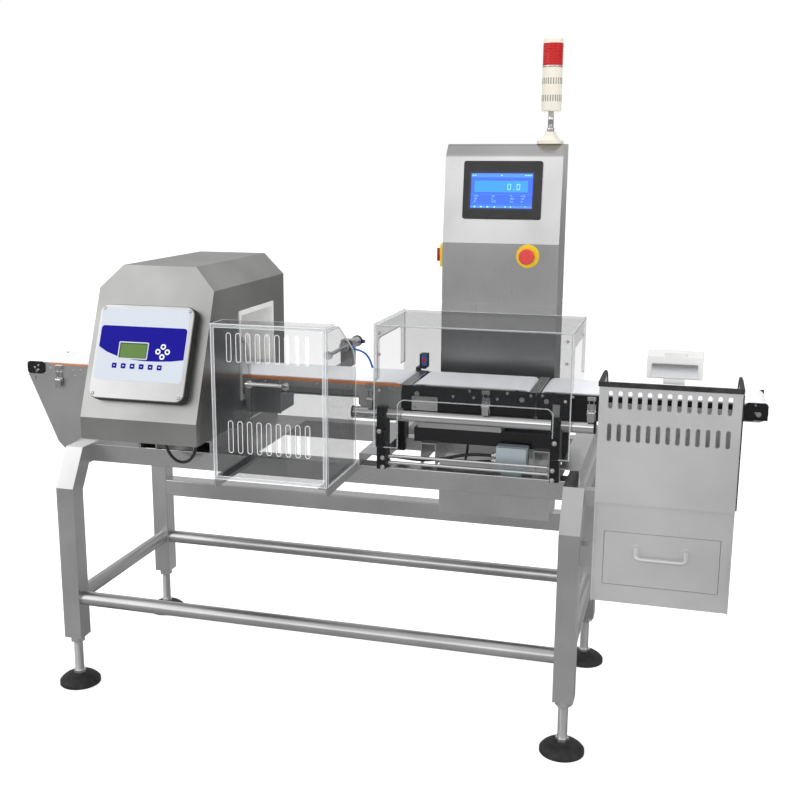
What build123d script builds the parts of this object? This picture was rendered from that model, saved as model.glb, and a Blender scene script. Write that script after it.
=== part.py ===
from build123d import *
import os
from math import atan2, radians, tan

# Combined belt metal detector and checkweigher on a tubular stand, in millimetres.
# Lengths are given in the stand's own frame: x runs with the product from the outer face of the
# left legs, y runs back from the front face of the front legs, z is height above the floor.
# The finished parts are moved so that the middle of the whole footprint is the origin.

# Clearances shared by every piece
running_fit = 0.05
clearance = 0.3
overrun = 5.0

# Stand
tube = 50.0
tube_wall = 2.0
tube_corner = 3.0
stand_length = 1380.0
leg_bottom = 139.0
leg_plug = 30.0
bend_height = 564.0
beam_top = 664.0
slant_run = 60.0
rail_diameter = 38.0
rail_height = 249.0
front_beam_setback = 108.0
middle_beam_bottom = 392.0

# Levelling feet
foot_diameter = 110.0
foot_rim = 9.0
foot_dome = 30.0
foot_neck = 18.0
foot_crown_shares = (0.62, 0.38)
foot_hex_across = 30.0
foot_hex_height = 8.0
stem_diameter = 24.0
stem_engaged = 40.0
foot_lift = 15.0
lock_nut_across = 36.0
lock_nut_height = 15.0

# Channels that cross the stand and carry the head, the tubes and the scale
channel_width = 50.0
channel_height = 33.0
channel_wall = 3.0
channel_front = 97.0
head_channel_lefts = (200.0, 357.0)
bearer_lefts = (960.0, 1245.0)
bearer_width = 40.0
bearer_front = 150.0
bearer_back = 285.0
rear_bar_depth = 40.0
tray_thickness = 2.0
tray_reach = 16.0

# Conveyors, which share one belt line
belt_top = 880.0
belt_width = 174.0
belt_thickness = 2.0
belt_front = 115.0
roller_radius = 20.0
roller_shaft_radius = 6.0
roller_side_play = 2.0
shaft_stub = 2.0
side_gap = 5.0
plate_thickness = 6.0
plate_top = 877.0
plate_depth = 34.0
plate_gap = 2.0
bed_thickness = 3.0
tie_bar = 12.0
infeed_left = -126.0
infeed_right = 922.0
weigh_left = 938.0
weigh_right = 1242.0
outfeed_left = 1256.0
outfeed_right = 1780.0
outfeed_deep_end = 1640.0
end_plate_reach = 2.0
guard_foot_left = -50.0
guard_right = 194.0
guard_lap = 18.0
guard_corner = 10.0
strip_thickness = 2.0
strip_top = 882.0
saddle_length = 110.0
saddle_corner = 8.0

# Black roller carriers at the two outer ends
end_carrier_length = 50.0
end_carrier_top = 884.0
end_carrier_height = 33.0
end_carrier_thickness = 5.0

# Tubes that carry the weighing and outfeed conveyors
carrier_diameter = 31.0
carrier_wall = 2.0
saddle_depth = 60.2
carrier_left = 798.0
carrier_right = 1392.0
carrier_cap = 5.0
clamp_width = 22.0
clamp_depth = 44.0
clamp_rise = 21.0
clamp_lefts = (863.0, 1293.0)
clamp_corner = 6.0
tie_rod_diameter = 8.0
tie_rod_heights = (677.0, 694.0)
tie_rod_nut = 7.0
tie_rod_nut_across = 14.0
face_plate_thickness = 3.0
face_plate_height = 35.0
face_plates = ((948.0, 1013.0), (1294.0, 1311.0))

# Detector head
head_left = 196.0
head_right = 500.0
head_front = -181.0
head_back = 404.0
head_bottom = 758.0
skirt_top = 812.0
head_top = 1166.0
head_flat_front = -36.0
head_chamfer = 55.0
head_wall = 3.0
tunnel_front = 97.0
tunnel_back = 307.0
tunnel_bottom = 828.0
tunnel_top = 1033.0
liner_wall = 5.0
liner_flange = 12.0
liner_flange_thickness = 2.0
coil_section = 16.0
coil_shares = (0.25, 0.5, 0.75)
riser_width = 40.0
riser_front = 110.0
riser_back = 340.0

# Control box on the slanted face of the head
lid_width = 246.0
lid_height = 230.0
lid_from_bottom = 45.0
lid_corner = 20.0
lid_thickness = 7.0
lid_edge = 2.0
box_depth = 17.0
box_inset = 1.0
box_wall = 3.0
gasket_thickness = 5.0
gasket_inset = 3.0
board_inset = 15.0
board_thickness = 2.0
standoff_height = 6.0
standoff_diameter = 8.0

# Clear reject bin beside the detector
bin_sheet = 6.0
clear_bin_left = 524.0
clear_bin_right = 808.0
clear_bin_front = -140.0
clear_bin_back = 88.0
clear_bin_bottom = 672.0
clear_bin_top = 1047.0
clear_bin_lid_back = -45.0
clear_bin_brow_setback = 75.0
clear_bin_brow_height = 962.0
clear_bin_nose = 905.0
clear_bin_back_top = 860.0
clear_bin_curve = 50.0
clear_bin_slots = 9
bin_slot_width = 10.0
clear_bin_slot_side = 46.0
clear_bin_upper_slots = (959.0, 1026.0)
clear_bin_lower_slots = (741.0, 817.0)
handle_rod = 9.0
handle_foot_diameter = 18.0
handle_foot_thickness = 3.0
handle_bend = 12.0
clear_handle_span = 90.0
clear_handle_reach = 34.0
clear_handle_height = 908.0
clear_handle_rise = 8.0
clear_handle_left = 620.0
bin_rail_width = 22.0
bin_rail_wall = 4.0
bin_rail_drop = 22.0

# Steel reject bin beside the outfeed conveyor
steel_bin_left = 1420.0
steel_bin_right = 1711.0
steel_bin_front = -140.0
steel_bin_back = 98.0
steel_bin_top = 958.0
steel_bin_flat = 145.0
steel_bin_lip = 866.0
steel_bin_curve = 60.0
steel_sheet = 3.0
steel_front_bottom = 694.0
steel_bin_bottom = 466.0
steel_header_setback = 8.0
steel_slots = 13
steel_slot_width = 9.0
steel_slot_side = 24.0
steel_upper_slots = (903.0, 942.0)
steel_lower_slots = (832.0, 871.0)
post_width = 23.0
trim_thickness = 2.5
trim_height = 10.0
trim_length = 115.0
window_bottom = 507.0
window_top = 629.0
drawer_gap = 1.0
drawer_wall = 2.0
drawer_depth = 210.0
drawer_side_height = 90.0
drawer_handle_span = 104.0
drawer_handle_height = 594.0
drawer_handle_reach = 30.0
drawer_handle_droop = 14.0
runner_width = 32.0
hanger_places = (((6.0, 44.0), (490.0, 540.0)), ((58.0, 88.0), (622.0, 660.0)))

# Clear hood over the weighing conveyor
hood_sheet = 5.0
hood_left = 858.0
hood_right = 1340.0
hood_front = 75.0
hood_back = 370.0
hood_top = 1028.0
hood_leg_bottom = 722.0
hood_apron_bottom = 844.0
hood_leg_widths = (62.0, 43.0)
hood_corner = 16.0
hood_side_bar = 32.0
hood_side_leg = 35.0
hood_side_bottom = 890.0
hood_block_inset = 2.0
hood_block_rise = 12.0
hood_block_height = 30.0

# Electrical column
column_left = 958.0
column_right = 1262.0
column_stand_off = 5.0
column_depth = 128.0
column_beam_gap = 27.0
column_bottom = 470.0
column_top = 1461.0
column_panel_bottom = 1209.0
column_panel_top = 1432.0
column_lean = 26.0
column_crown = 27.0
column_crown_curve = 14.0
column_wall = 2.0
column_groove = 1.0
column_groove_heights = (1052.0, 925.0)
column_groove_width = 4.0
column_bracket_width = 50.0
column_bracket_lefts = (990.0, 1180.0)
screen_width = 204.0
screen_height = 148.0
screen_thickness = 6.0
screen_corner = 6.0
screen_edge = 1.5
screen_from_bottom = 62.0
screen_body_share = 0.9
screen_body_depth = 30.0
stop_x = 1183.0
stop_height = 1178.0
stop_plate_diameter = 60.0
stop_plate_thickness = 2.0
stop_collar_diameter = 30.0
stop_collar_height = 8.0
stop_head_diameter = 40.0
stop_head_height = 13.0
stop_head_edge = 3.0
stop_stem_diameter = 16.0
stop_stem_length = 22.0
stop_travel = 5.0
switch_plate_size = 60.0
switch_plate_corner = 5.0
switch_plate_thickness = 9.0
switch_height = 1174.0
switch_setback = 40.0
switch_knob_diameter = 36.0
switch_knob_height = 6.0
switch_grip_width = 12.0
switch_grip_length = 34.0
switch_grip_height = 7.0
switch_shaft_diameter = 8.0
switch_shaft_length = 25.0
module_sizes = ((60.0, 70.0, 150.0), (90.0, 60.0, 110.0), (160.0, 45.0, 70.0))
module_gap = 60.0
back_plate_margin = 30.0
back_plate_gap = 4.0

# Signal tower
tower_x = 1222.0
tower_setback = 65.0
tower_base_diameter = 68.0
tower_base_rim = 8.0
tower_base_height = 30.0
tower_neck_diameter = 28.0
tower_flare_shares = (0.3, 0.66)
tower_pole_diameter = 14.0
tower_body_bottom = 1543.0
tower_body_top = 1654.0
tower_lens_top = 1708.0
tower_top = 1720.0
tower_diameter = 50.0
tower_core_diameter = 20.0
tower_edge = 3.0
tower_wall = 2.5

# Load cell in its housing under the weighing conveyor
base_left = 939.0
base_right = 1291.0
base_front = 165.0
base_back = 275.0
base_bottom = 722.0
base_top = 758.0
base_wall = 3.0
cell_post_diameter = 30.0
cell_post_hole = 36.0
cell_length = 150.0
cell_width = 30.0
cell_height = 22.0
cell_hole = 14.0
cell_hole_spacing = 22.0
cell_pad = 4.0
spider_thickness = 6.0
spider_drop = 19.8
front_bar_left = 948.0
front_bar_right = 1161.0
front_bar_depth = 20.0
front_bar_height = 17.0

# Draw latches on the front side plates
latch_centres = {"infeed_left": -34.0, "infeed_right": 841.0, "weigh": 1133.0, "outfeed": 1385.0}
latch_width = 20.0
latch_base_thickness = 3.0
latch_base_bottom = 818.0
latch_base_height = 40.0
latch_pin_height = 837.0
latch_pin_diameter = 4.0
latch_ear_thickness = 2.0
latch_hub_diameter = 8.0
latch_hub_gap = 1.0
latch_lever_thickness = 2.0
latch_lever_length = 21.0
latch_keeper_top = 876.0
latch_keeper_height = 9.0
latch_keeper_depth = 8.0
latch_bail_diameter = 2.5
latch_bail_gap = 1.0

# Drive motors under the belts
gearbox_lefts = (505.0, 1560.0)
gearbox_width = 97.0
gearbox_bottom = 784.0
gearbox_depth = 90.0
gearbox_corner = 6.0
motor_diameter = 46.0
motor_length = 80.0
motor_flange = 6.0

# Air cylinder that pushes rejects off the infeed conveyor
pusher_x = 665.0
pusher_height = 905.0
pusher_rod_diameter = 10.0
pusher_head_front = 294.0
pusher_head_diameter = 22.0
pusher_head_length = 10.0
barrel_front = 440.0
barrel_diameter = 26.0
barrel_length = 125.0
barrel_cap_diameter = 30.0
barrel_cap_length = 14.0
pusher_travel = 100.0
mount_block_width = 36.0
mount_block_front = 462.0
mount_block_depth = 30.0
mount_arm_thickness = 6.0
mount_arm_bottom = 850.0

# Reject unit behind the outfeed conveyor
rejector_left = 1498.0
rejector_right = 1634.0
rejector_front = 306.0
rejector_depth = 110.0
rejector_bottom = 890.0
rejector_top = 945.0
rejector_corner = 4.0
rejector_clip_width = 52.0
rejector_clip_height = 10.0
rejector_shelf = 3.0
paddle_width = 110.0
paddle_height = 34.0
paddle_thickness = 3.0
paddle_lift = 4.0
paddle_rod_diameter = 10.0
paddle_rod_spacing = 70.0
paddle_travel = 90.0

# Product sensor at the start of the weighing conveyor
sensor_arm_left = 908.0
sensor_arm_width = 14.0
sensor_arm_thickness = 3.0
sensor_arm_bottom = 850.0
sensor_left = 914.0
sensor_width = 20.0
sensor_front = 312.0
sensor_depth = 32.0
sensor_bottom = 886.0
sensor_top = 919.0
sensor_corner = 3.0

# Junction box under the weighing conveyor
junction_left = 1156.0
junction_width = 78.0
junction_front = 118.0
junction_depth = 36.0
junction_foot = 14.0
junction_height = 56.0
junction_corner = 4.0
junction_lid = 8.0
junction_lid_inset = 2.0
gland_diameter = 14.0
gland_length = 12.0
gland_shares = (0.25, 0.5)

# Cables, whose routes are chosen by hand
cable_diameter = 8.0
thin_cable_diameter = 6.0
arc_share = 0.45
detector_cable_route = (
    (286, 72, 758), (286, 72, 724), (289, 72, 691), (300, 72, 661), (321, 72, 643), (347, 72, 642),
    (368, 72, 659), (378, 72, 689), (381, 72, 723), (381, 72, 758))
sensor_cable_route = (
    (1144, 136, 706), (1106, 136, 706), (1068, 136, 701), (1030, 137, 690), (992, 138, 682),
    (954, 140, 679), (920, 141, 681), (891, 141, 683), (863, 141, 683))
drive_cable_route = (
    (1144, 136, 692), (1118, 136, 690), (1092, 140, 684), (1074, 158, 678), (1068, 184, 676),
    (1067, 208, 684), (1067, 220, 703), (1067, 221, 722))
air_hose_route = (
    (683, 477, 895), (704, 478, 892), (722, 484, 876), (730, 496, 848), (732, 512, 812), (733, 530, 772),
    (733, 545, 732), (733, 553, 695), (733, 554, 664))

# Derived places of the stand
column_front = hood_back + column_stand_off
column_back = column_front + column_depth
stand_depth = column_back + column_beam_gap + tube
leg_xs = (0.0, stand_length - tube)
foot_xs = tuple(x + tube / 2 for x in leg_xs)
foot_ys = (tube / 2, stand_depth - tube / 2)
lean = atan2(slant_run, beam_top - bend_height)
rear_beam_front = stand_depth - tube
channel_top = beam_top + channel_height
tube_channel_lefts = (clamp_lefts[0] - channel_width, clamp_lefts[1] + clamp_width)

# Derived places of the conveyors
belt_back = belt_front + belt_width
front_plate = (belt_front - side_gap - plate_thickness, belt_front - side_gap)
rear_plate = (belt_back + side_gap, belt_back + side_gap + plate_thickness)
side_plates = (front_plate, rear_plate)
between_plates = (front_plate[1], rear_plate[0])
plate_bottom = plate_top - plate_depth
roller_height = belt_top - belt_thickness - clearance - roller_radius
belt_radius = roller_radius + clearance + belt_thickness
below_belt = roller_height - belt_radius - clearance
carrier_rows = tuple((y[0] + y[1]) / 2 for y in side_plates)
saddle_bottom = plate_top - saddle_depth
carrier_height = saddle_bottom - clearance - carrier_diameter / 2
clamp_top = carrier_height + clamp_rise
face_plate_bottom = saddle_bottom + clearance
spider_bottom = saddle_bottom - spider_drop
infeed_rollers = (infeed_left + belt_radius, infeed_right - belt_radius)
weigh_rollers = (weigh_left + belt_radius, weigh_right - belt_radius)
outfeed_rollers = (outfeed_left + belt_radius, outfeed_right - belt_radius)
infeed_plates = (infeed_left - end_plate_reach, infeed_right - plate_gap)
weigh_plates = (infeed_right, outfeed_left - 2 * plate_gap)
outfeed_plates = (outfeed_left - plate_gap, outfeed_right - end_plate_reach)
weigh_middle = (weigh_left + weigh_right) / 2
belt_middle = (belt_front + belt_back) / 2


# Shapes used again and again

def block(x, y, z):
    """A box between two places on each axis."""
    size = Box(x[1] - x[0], y[1] - y[0], z[1] - z[0])
    return Pos((x[0] + x[1]) / 2, (y[0] + y[1]) / 2, (z[0] + z[1]) / 2) * size


def along_x(x, profile):
    """A slab between two x places, from a flat shape drawn as (y, z)."""
    plane = Plane(origin=(x[0], 0, 0), x_dir=(0, 1, 0), z_dir=(1, 0, 0))
    return extrude(plane * profile, amount=x[1] - x[0])


def along_y(y, profile):
    """A slab between two y places, from a flat shape drawn as (x, z)."""
    plane = Plane(origin=(0, y[1], 0), x_dir=(1, 0, 0), z_dir=(0, -1, 0))
    return extrude(plane * profile, amount=y[1] - y[0])


def polygon(*points):
    """A flat shape with straight sides."""
    return make_face(Polyline(*points, close=True))


def rectangle(a, b):
    """A flat rectangle between two places on each of its axes."""
    return polygon((a[0], b[0]), (a[1], b[0]), (a[1], b[1]), (a[0], b[1]))


def rounded(profile, radius, *corners):
    """A flat shape with the given corners rounded."""
    chosen = [profile.vertices().sort_by_distance((a, b, 0))[0] for a, b in corners]
    return fillet(chosen, radius)


def rod_x(x, y, z, diameter):
    """A round bar along x."""
    return Pos((x[0] + x[1]) / 2, y, z) * Rot(0, 90, 0) * Cylinder(diameter / 2, x[1] - x[0])


def rod_y(x, y, z, diameter):
    """A round bar along y."""
    return Pos(x, (y[0] + y[1]) / 2, z) * Rot(90, 0, 0) * Cylinder(diameter / 2, y[1] - y[0])


def rod_z(x, y, z, diameter):
    """A round bar along z."""
    return Pos(x, y, (z[0] + z[1]) / 2) * Cylinder(diameter / 2, z[1] - z[0])


def bent_bar(points, diameter, radii):
    """A round bar along straight runs joined by tangent arcs."""
    path = FilletPolyline(*points, radius=radii)
    start = Plane(origin=path @ 0, z_dir=path % 0)
    return sweep(start * Circle(diameter / 2), path=path)


def spaced(first, last, count):
    """Places from first to last at equal steps."""
    step = (last - first) / (count - 1)
    return [first + step * n for n in range(count)]


def softened(solid, axis, radius):
    """The solid with its edges along one axis rounded."""
    return fillet(solid.edges().filter_by(axis), radius)


def square_tube(x, y, z):
    """A square tube along x with rounded corners, open at both ends."""
    bore = block((x[0] - overrun, x[1] + overrun), (y[0] + tube_wall, y[1] - tube_wall),
                 (z[0] + tube_wall, z[1] - tube_wall))
    return softened(block(x, y, z), Axis.X, tube_corner) - bore


def upturned_channel(left, width, y, height):
    """A channel along y on top of the beams, open below."""
    inner = (left + channel_wall, left + width - channel_wall)
    outer = block((left, left + width), y, (beam_top, beam_top + height))
    return outer - block(inner, (y[0] - overrun, y[1] + overrun),
                         (beam_top - overrun, beam_top + height - channel_wall))


def slot_row(left, right, count, width, z):
    """A row of upright round-ended slots, drawn as (x, z)."""
    middle = (z[0] + z[1]) / 2
    places = [Location((x, middle)) for x in spaced(left, right, count)]
    return [place * SlotOverall(z[1] - z[0], width, rotation=90) for place in places]


def bow_handle(left, span, face, reach, height, shift):
    """A round bar handle in front of a face, with a disc under each foot."""
    right = left + span
    out = face - reach
    disc = (face - handle_foot_thickness, face)
    bar = bent_bar(((left, disc[0], height), (left, out, height + shift), (right, out, height + shift),
                    (right, disc[0], height)), handle_rod, handle_bend)
    return [bar] + [rod_y(x, disc, height, handle_foot_diameter) for x in (left, right)]


# Stand

def stem_bores():
    """The holes in the legs that take the stems of the feet."""
    depth = stem_engaged + foot_lift + clearance
    return [rod_z(x, y, (leg_bottom - overrun, leg_bottom + depth), stem_diameter + 2 * running_fit)
            for x in foot_xs for y in foot_ys]


def front_leg_profile(inset, bottom):
    """An upright that leans back above a mitre, drawn as (y, z), inset from its outer faces."""
    drop = tan(lean / 2)
    front, back, top = inset, tube - inset, beam_top - inset
    front_knee = bend_height - front * drop
    back_knee = bend_height - back * drop
    return polygon((front, bottom), (front, front_knee), (front + (top - front_knee) * tan(lean), top),
                   (back + (top - back_knee) * tan(lean), top), (back, back_knee), (back, bottom))


def stand_legs():
    solids = []
    inner_bottom = leg_bottom + leg_plug
    for x in leg_xs:
        inside = (x + tube_wall, x + tube - tube_wall)
        front = along_x((x, x + tube), front_leg_profile(0, leg_bottom))
        solids.append(front - along_x(inside, front_leg_profile(tube_wall, inner_bottom)))
        rear = softened(block((x, x + tube), (rear_beam_front, stand_depth), (leg_bottom, beam_top)),
                        Axis.Z, tube_corner)
        solids.append(rear - block(inside, (rear_beam_front + tube_wall, stand_depth - tube_wall),
                                   (inner_bottom, beam_top - tube_wall)))
    return [solid - stem_bores() for solid in solids]


def stand_rails():
    """Round tubes between the legs, near the floor."""
    bore = rail_diameter - 2 * tube_wall
    x_run = (tube, stand_length - tube)
    y_run = (tube, rear_beam_front)
    rails = [rod_x(x_run, y, rail_height, rail_diameter) - rod_x(x_run, y, rail_height, bore)
             for y in foot_ys]
    rails += [rod_y(x, y_run, rail_height, rail_diameter) - rod_y(x, y_run, rail_height, bore)
              for x in foot_xs]
    return rails


def stand_beams():
    """The square tubes of the top frame, and the one across the rear legs."""
    across = (tube, stand_length - tube)
    rear = (rear_beam_front, stand_depth)
    top = (beam_top - tube, beam_top)
    beams = [square_tube(across, (front_beam_setback, front_beam_setback + tube), top),
             square_tube(across, rear, top),
             square_tube(across, rear, (middle_beam_bottom, middle_beam_bottom + tube))]
    knee = bend_height - tube * tan(lean / 2)
    low = tube + (top[0] - knee) * tan(lean)
    high = tube + (top[1] - knee) * tan(lean)
    outline = polygon((low, top[0]), (high, top[1]), (rear[0], top[1]), (rear[0], top[0]))
    for x in leg_xs:
        bore = block((x + tube_wall, x + tube - tube_wall), (0, stand_depth),
                     (top[0] + tube_wall, top[1] - tube_wall))
        beams.append(along_x((x, x + tube), outline) - bore)
    return beams


def foot_lock_nuts():
    hexagon = RegularPolygon(lock_nut_across / 2, 6, major_radius=False)
    nut = extrude(hexagon, lock_nut_height)
    nut -= rod_z(0, 0, (-overrun, lock_nut_height + overrun), stem_diameter + 2 * running_fit)
    return [Pos(x, y, leg_bottom - lock_nut_height) * nut for x in foot_xs for y in foot_ys]


def bulge(start, end, shares):
    """An arc between two points of a turned outline, through shares of the way across and up."""
    middle = tuple(a + share * (b - a) for a, b, share in zip(start, end, shares))
    return ThreePointArc(start, middle, end)


def levelling_foot(x, y):
    """A domed pad under a screwed stem with a hexagon at its root."""
    stem, outer = stem_diameter / 2, foot_diameter / 2
    top = leg_bottom + stem_engaged
    edge, crown = (outer, foot_rim), (foot_neck, foot_dome)
    outline = make_face(Polyline(crown, (stem, foot_dome), (stem, top), (0, top), (0, 0), (outer, 0), edge)
                        + bulge(crown, edge, foot_crown_shares))
    hexagon = extrude(RegularPolygon(foot_hex_across / 2, 6, major_radius=False), foot_hex_height)
    return [Pos(x, y, 0) * (revolve(Plane.XZ * outline, Axis.Z) + Pos(0, 0, foot_dome) * hexagon)]


# Detector head

def head_section(inset):
    """The head from the side, drawn as (y, z), inset from its outer faces."""
    slope = (head_flat_front - head_front) / (head_top - skirt_top)
    slant = inset * (1 + slope ** 2) ** 0.5
    top, bottom = head_top - inset, head_bottom + inset
    flat_y = head_front + slant + slope * (top - skirt_top)
    knee_z = skirt_top - (slant - inset) / slope
    return polygon((head_front + inset, bottom), (head_front + inset, knee_z), (flat_y, top),
                   (head_back - inset, top), (head_back - inset, bottom))


def head_front_view(inset):
    """The head from the front, drawn as (x, z), with its two sloping shoulders."""
    left, right = head_left + inset, head_right - inset
    top, bottom = head_top - inset, head_bottom + inset
    cut = head_chamfer - inset * (2 - 2 ** 0.5)
    return polygon((left, bottom), (left, top - cut), (left + cut, top), (right - cut, top),
                   (right, top - cut), (right, bottom))


def head_body(inset):
    side = along_x((head_left + inset, head_right - inset), head_section(inset))
    front = along_y((head_front - overrun, head_back + overrun), head_front_view(inset))
    return side & front


def tunnel_block(growth, reach):
    """The space of the product tunnel, grown on its four walls and lengthened at both ends."""
    return block((head_left - reach, head_right + reach),
                 (tunnel_front - growth, tunnel_back + growth),
                 (tunnel_bottom - growth, tunnel_top + growth))


def detector_housing():
    """A welded sheet head with a window in each side for the product tunnel."""
    return [head_body(0) - head_body(head_wall) - tunnel_block(liner_wall, overrun)]


def tunnel_liner():
    """A plastic duct with a flange around each mouth."""
    duct = tunnel_block(liner_wall, 0)
    flange = tunnel_block(liner_flange, liner_flange_thickness) - tunnel_block(liner_flange + overrun, 0)
    return [duct + flange - tunnel_block(0, overrun)]


def detector_coils():
    """One sending and two receiving windings around the tunnel."""
    ring = tunnel_block(liner_wall + coil_section, 0) - tunnel_block(liner_wall, overrun)
    coils = []
    for share in coil_shares:
        x = head_left + share * (head_right - head_left)
        coils.append(ring & block((x - coil_section / 2, x + coil_section / 2),
                                  (head_front, head_back), (head_bottom, head_top)))
    return coils


# Control box, drawn flat and then laid on the slanted face

def slanted_plane():
    """A plane on the slanted face: x to the right, y up the slope, z out of the head."""
    slope = Vector(0, head_flat_front - head_front, head_top - skirt_top).normalized()
    across = Vector(1, 0, 0)
    middle = (head_left + head_right) / 2
    return Plane(origin=(middle, head_front, skirt_top), x_dir=across, z_dir=across.cross(slope))


def lid_slab(inset, low, high):
    """A rounded slab of the lid's outline between two distances from the slanted face."""
    outline = RectangleRounded(lid_width - 2 * inset, lid_height - 2 * inset, lid_corner - inset)
    return Pos(0, lid_from_bottom + lid_height / 2, low) * extrude(outline, high - low)


def control_box():
    shell = lid_slab(box_inset, 0, box_depth)
    return [slanted_plane() * (shell - lid_slab(box_inset + box_wall, box_wall, box_depth + overrun))]


def control_gasket():
    """A rubber ring between the control box and its lid."""
    high = box_depth + gasket_thickness
    ring = lid_slab(gasket_inset, box_depth, high)
    ring -= lid_slab(gasket_inset + box_wall, box_depth - overrun, high + overrun)
    return [slanted_plane() * ring]


def control_lid():
    low = box_depth + gasket_thickness
    lid = lid_slab(0, low, low + lid_thickness)
    return [slanted_plane() * fillet(lid.faces().sort_by(Axis.Z)[-1].edges(), lid_edge)]


def electronics():
    """The circuit board in the control box, and the mounted modules in the column."""
    low = box_wall + standoff_height
    solids = [lid_slab(board_inset, low, low + board_thickness)]
    reach = (lid_width / 2 - board_inset - standoff_diameter, lid_height / 2 - board_inset - standoff_diameter)
    for across in (-1, 1):
        for up in (-1, 1):
            centre = lid_from_bottom + lid_height / 2 + up * reach[1]
            solids.append(rod_z(across * reach[0], centre, (box_wall, low), standoff_diameter))
    solids = [slanted_plane() * solid for solid in solids]
    plate_back = column_back - column_wall - back_plate_gap
    plate = (plate_back - column_wall, plate_back)
    left, right = column_left + back_plate_margin, column_right - back_plate_margin
    bottom = column_bottom + back_plate_margin
    solids.append(block((left, right), plate, (bottom, column_panel_bottom)))
    for x in (left, right - back_plate_margin):
        solids.append(block((x, x + back_plate_margin), (plate_back, plate_back + back_plate_gap),
                            (bottom, column_panel_bottom)))
    z = bottom + back_plate_margin
    middle = (left + right) / 2
    for width, depth, height in module_sizes:
        solids.append(block((middle - width / 2, middle + width / 2), (plate[0] - depth, plate[0]),
                            (z, z + height)))
        z += height + module_gap
    return solids


# Conveyors

def stadium(rollers, radius):
    """The outline around two rollers, drawn as (x, z)."""
    middle = (rollers[0] + rollers[1]) / 2
    return Pos(middle, roller_height) * SlotCenterToCenter(rollers[1] - rollers[0], 2 * radius)


def belts():
    loops = []
    for rollers in (infeed_rollers, weigh_rollers, outfeed_rollers):
        outline = stadium(rollers, belt_radius) - stadium(rollers, belt_radius - belt_thickness)
        loops.append(along_y((belt_front, belt_back), outline))
    return loops


def roller(x):
    """A roller with a shaft that ends just outside the side plates."""
    barrel = (between_plates[0] + roller_side_play, between_plates[1] - roller_side_play)
    shaft = (front_plate[0] - shaft_stub, rear_plate[1] + shaft_stub)
    return [rod_y(x, barrel, roller_height, 2 * roller_radius)
            + rod_y(x, shaft, roller_height, 2 * roller_shaft_radius)]


def shaft_bores(rollers):
    """The bearing holes of two rollers through every side plate."""
    span = (front_plate[0] - end_carrier_thickness - overrun, rear_plate[1] + overrun)
    return [rod_y(x, span, roller_height, 2 * (roller_shaft_radius + running_fit)) for x in rollers]


def tie_bars(*places):
    """Square bars between the side plates, inside the belt loop."""
    z = (roller_height - tie_bar / 2, roller_height + tie_bar / 2)
    return [block((x - tie_bar / 2, x + tie_bar / 2), between_plates, z) for x in places]


def infeed_plate():
    """A side plate with a deep guard at the left end and a saddle at the right end."""
    left, right = infeed_plates
    saddle_left = right - saddle_length
    corners = ((guard_foot_left, beam_top), (saddle_left, saddle_bottom))
    outline = polygon(
        (left, plate_top), (right, plate_top), (right, saddle_bottom), corners[1],
        (saddle_left, plate_bottom), (guard_right, plate_bottom), (guard_right, beam_top), (0, beam_top),
        (0, beam_top - guard_lap), (guard_foot_left + guard_lap, beam_top - guard_lap), corners[0],
        (left, plate_bottom))
    return rounded(outline, guard_corner, *corners)


def infeed_frame():
    """Two side plates, a motor hanger, the cover strip at the left end, and the bars between."""
    bores = shaft_bores(infeed_rollers)
    hanger = rectangle((gearbox_lefts[0], gearbox_lefts[0] + gearbox_width),
                       (gearbox_bottom, plate_bottom + saddle_corner))
    solids = [along_y(front_plate, infeed_plate() + hanger) - bores,
              along_y(rear_plate, infeed_plate()) - bores]
    strip = block((infeed_plates[0], guard_right), (front_plate[0] - strip_thickness, front_plate[0]),
                  (plate_bottom, strip_top))
    solids.append(strip - bores)
    quarter = (infeed_right - infeed_left) / 4
    return solids + tie_bars(infeed_left + quarter / 2, infeed_left + 2 * quarter, infeed_right - quarter / 2)


def weigh_frame():
    """Two side plates joined by bars, with a cross plate that sits on the load cell."""
    corners = [(x, saddle_bottom) for x in weigh_plates]
    outline = rounded(rectangle(weigh_plates, (saddle_bottom, plate_top)), saddle_corner, *corners)
    bores = shaft_bores(weigh_rollers)
    solids = [along_y(y, outline) - bores for y in side_plates]
    inside = (carrier_rows[0] + carrier_diameter, carrier_rows[1] - carrier_diameter)
    cross = (weigh_middle - cell_length / 2, weigh_middle + cell_length / 2)
    top = spider_bottom + spider_thickness
    solids.append(block(cross, inside, (spider_bottom, top)))
    for x in (cross[0], cross[1] - tie_bar):
        solids.append(block((x, x + tie_bar), between_plates, (saddle_bottom, below_belt)))
        solids.append(block((x, x + tie_bar), inside, (top, saddle_bottom)))
    return solids + tie_bars(weigh_middle)


def outfeed_frame():
    """Two side plates, deep over the tubes and tapered towards the free end."""
    start, end = outfeed_plates
    outline = polygon((start, saddle_bottom), (start, plate_top), (end, plate_top), (end, plate_bottom),
                      (end - end_carrier_length, plate_bottom), (outfeed_deep_end, saddle_bottom))
    outline = rounded(outline, saddle_corner, (start, saddle_bottom))
    bores = shaft_bores(outfeed_rollers)
    third = (outfeed_right - outfeed_left) / 3
    return ([along_y(y, outline) - bores for y in side_plates]
            + tie_bars(outfeed_left + third, outfeed_right - third))


def slider_beds():
    """The sheets that the top runs of the belts slide on."""
    top = belt_top - belt_thickness - clearance
    return [block((rollers[0] + roller_radius, rollers[1] - roller_radius), between_plates,
                  (top - bed_thickness, top))
            for rollers in (infeed_rollers, weigh_rollers, outfeed_rollers)]


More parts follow.
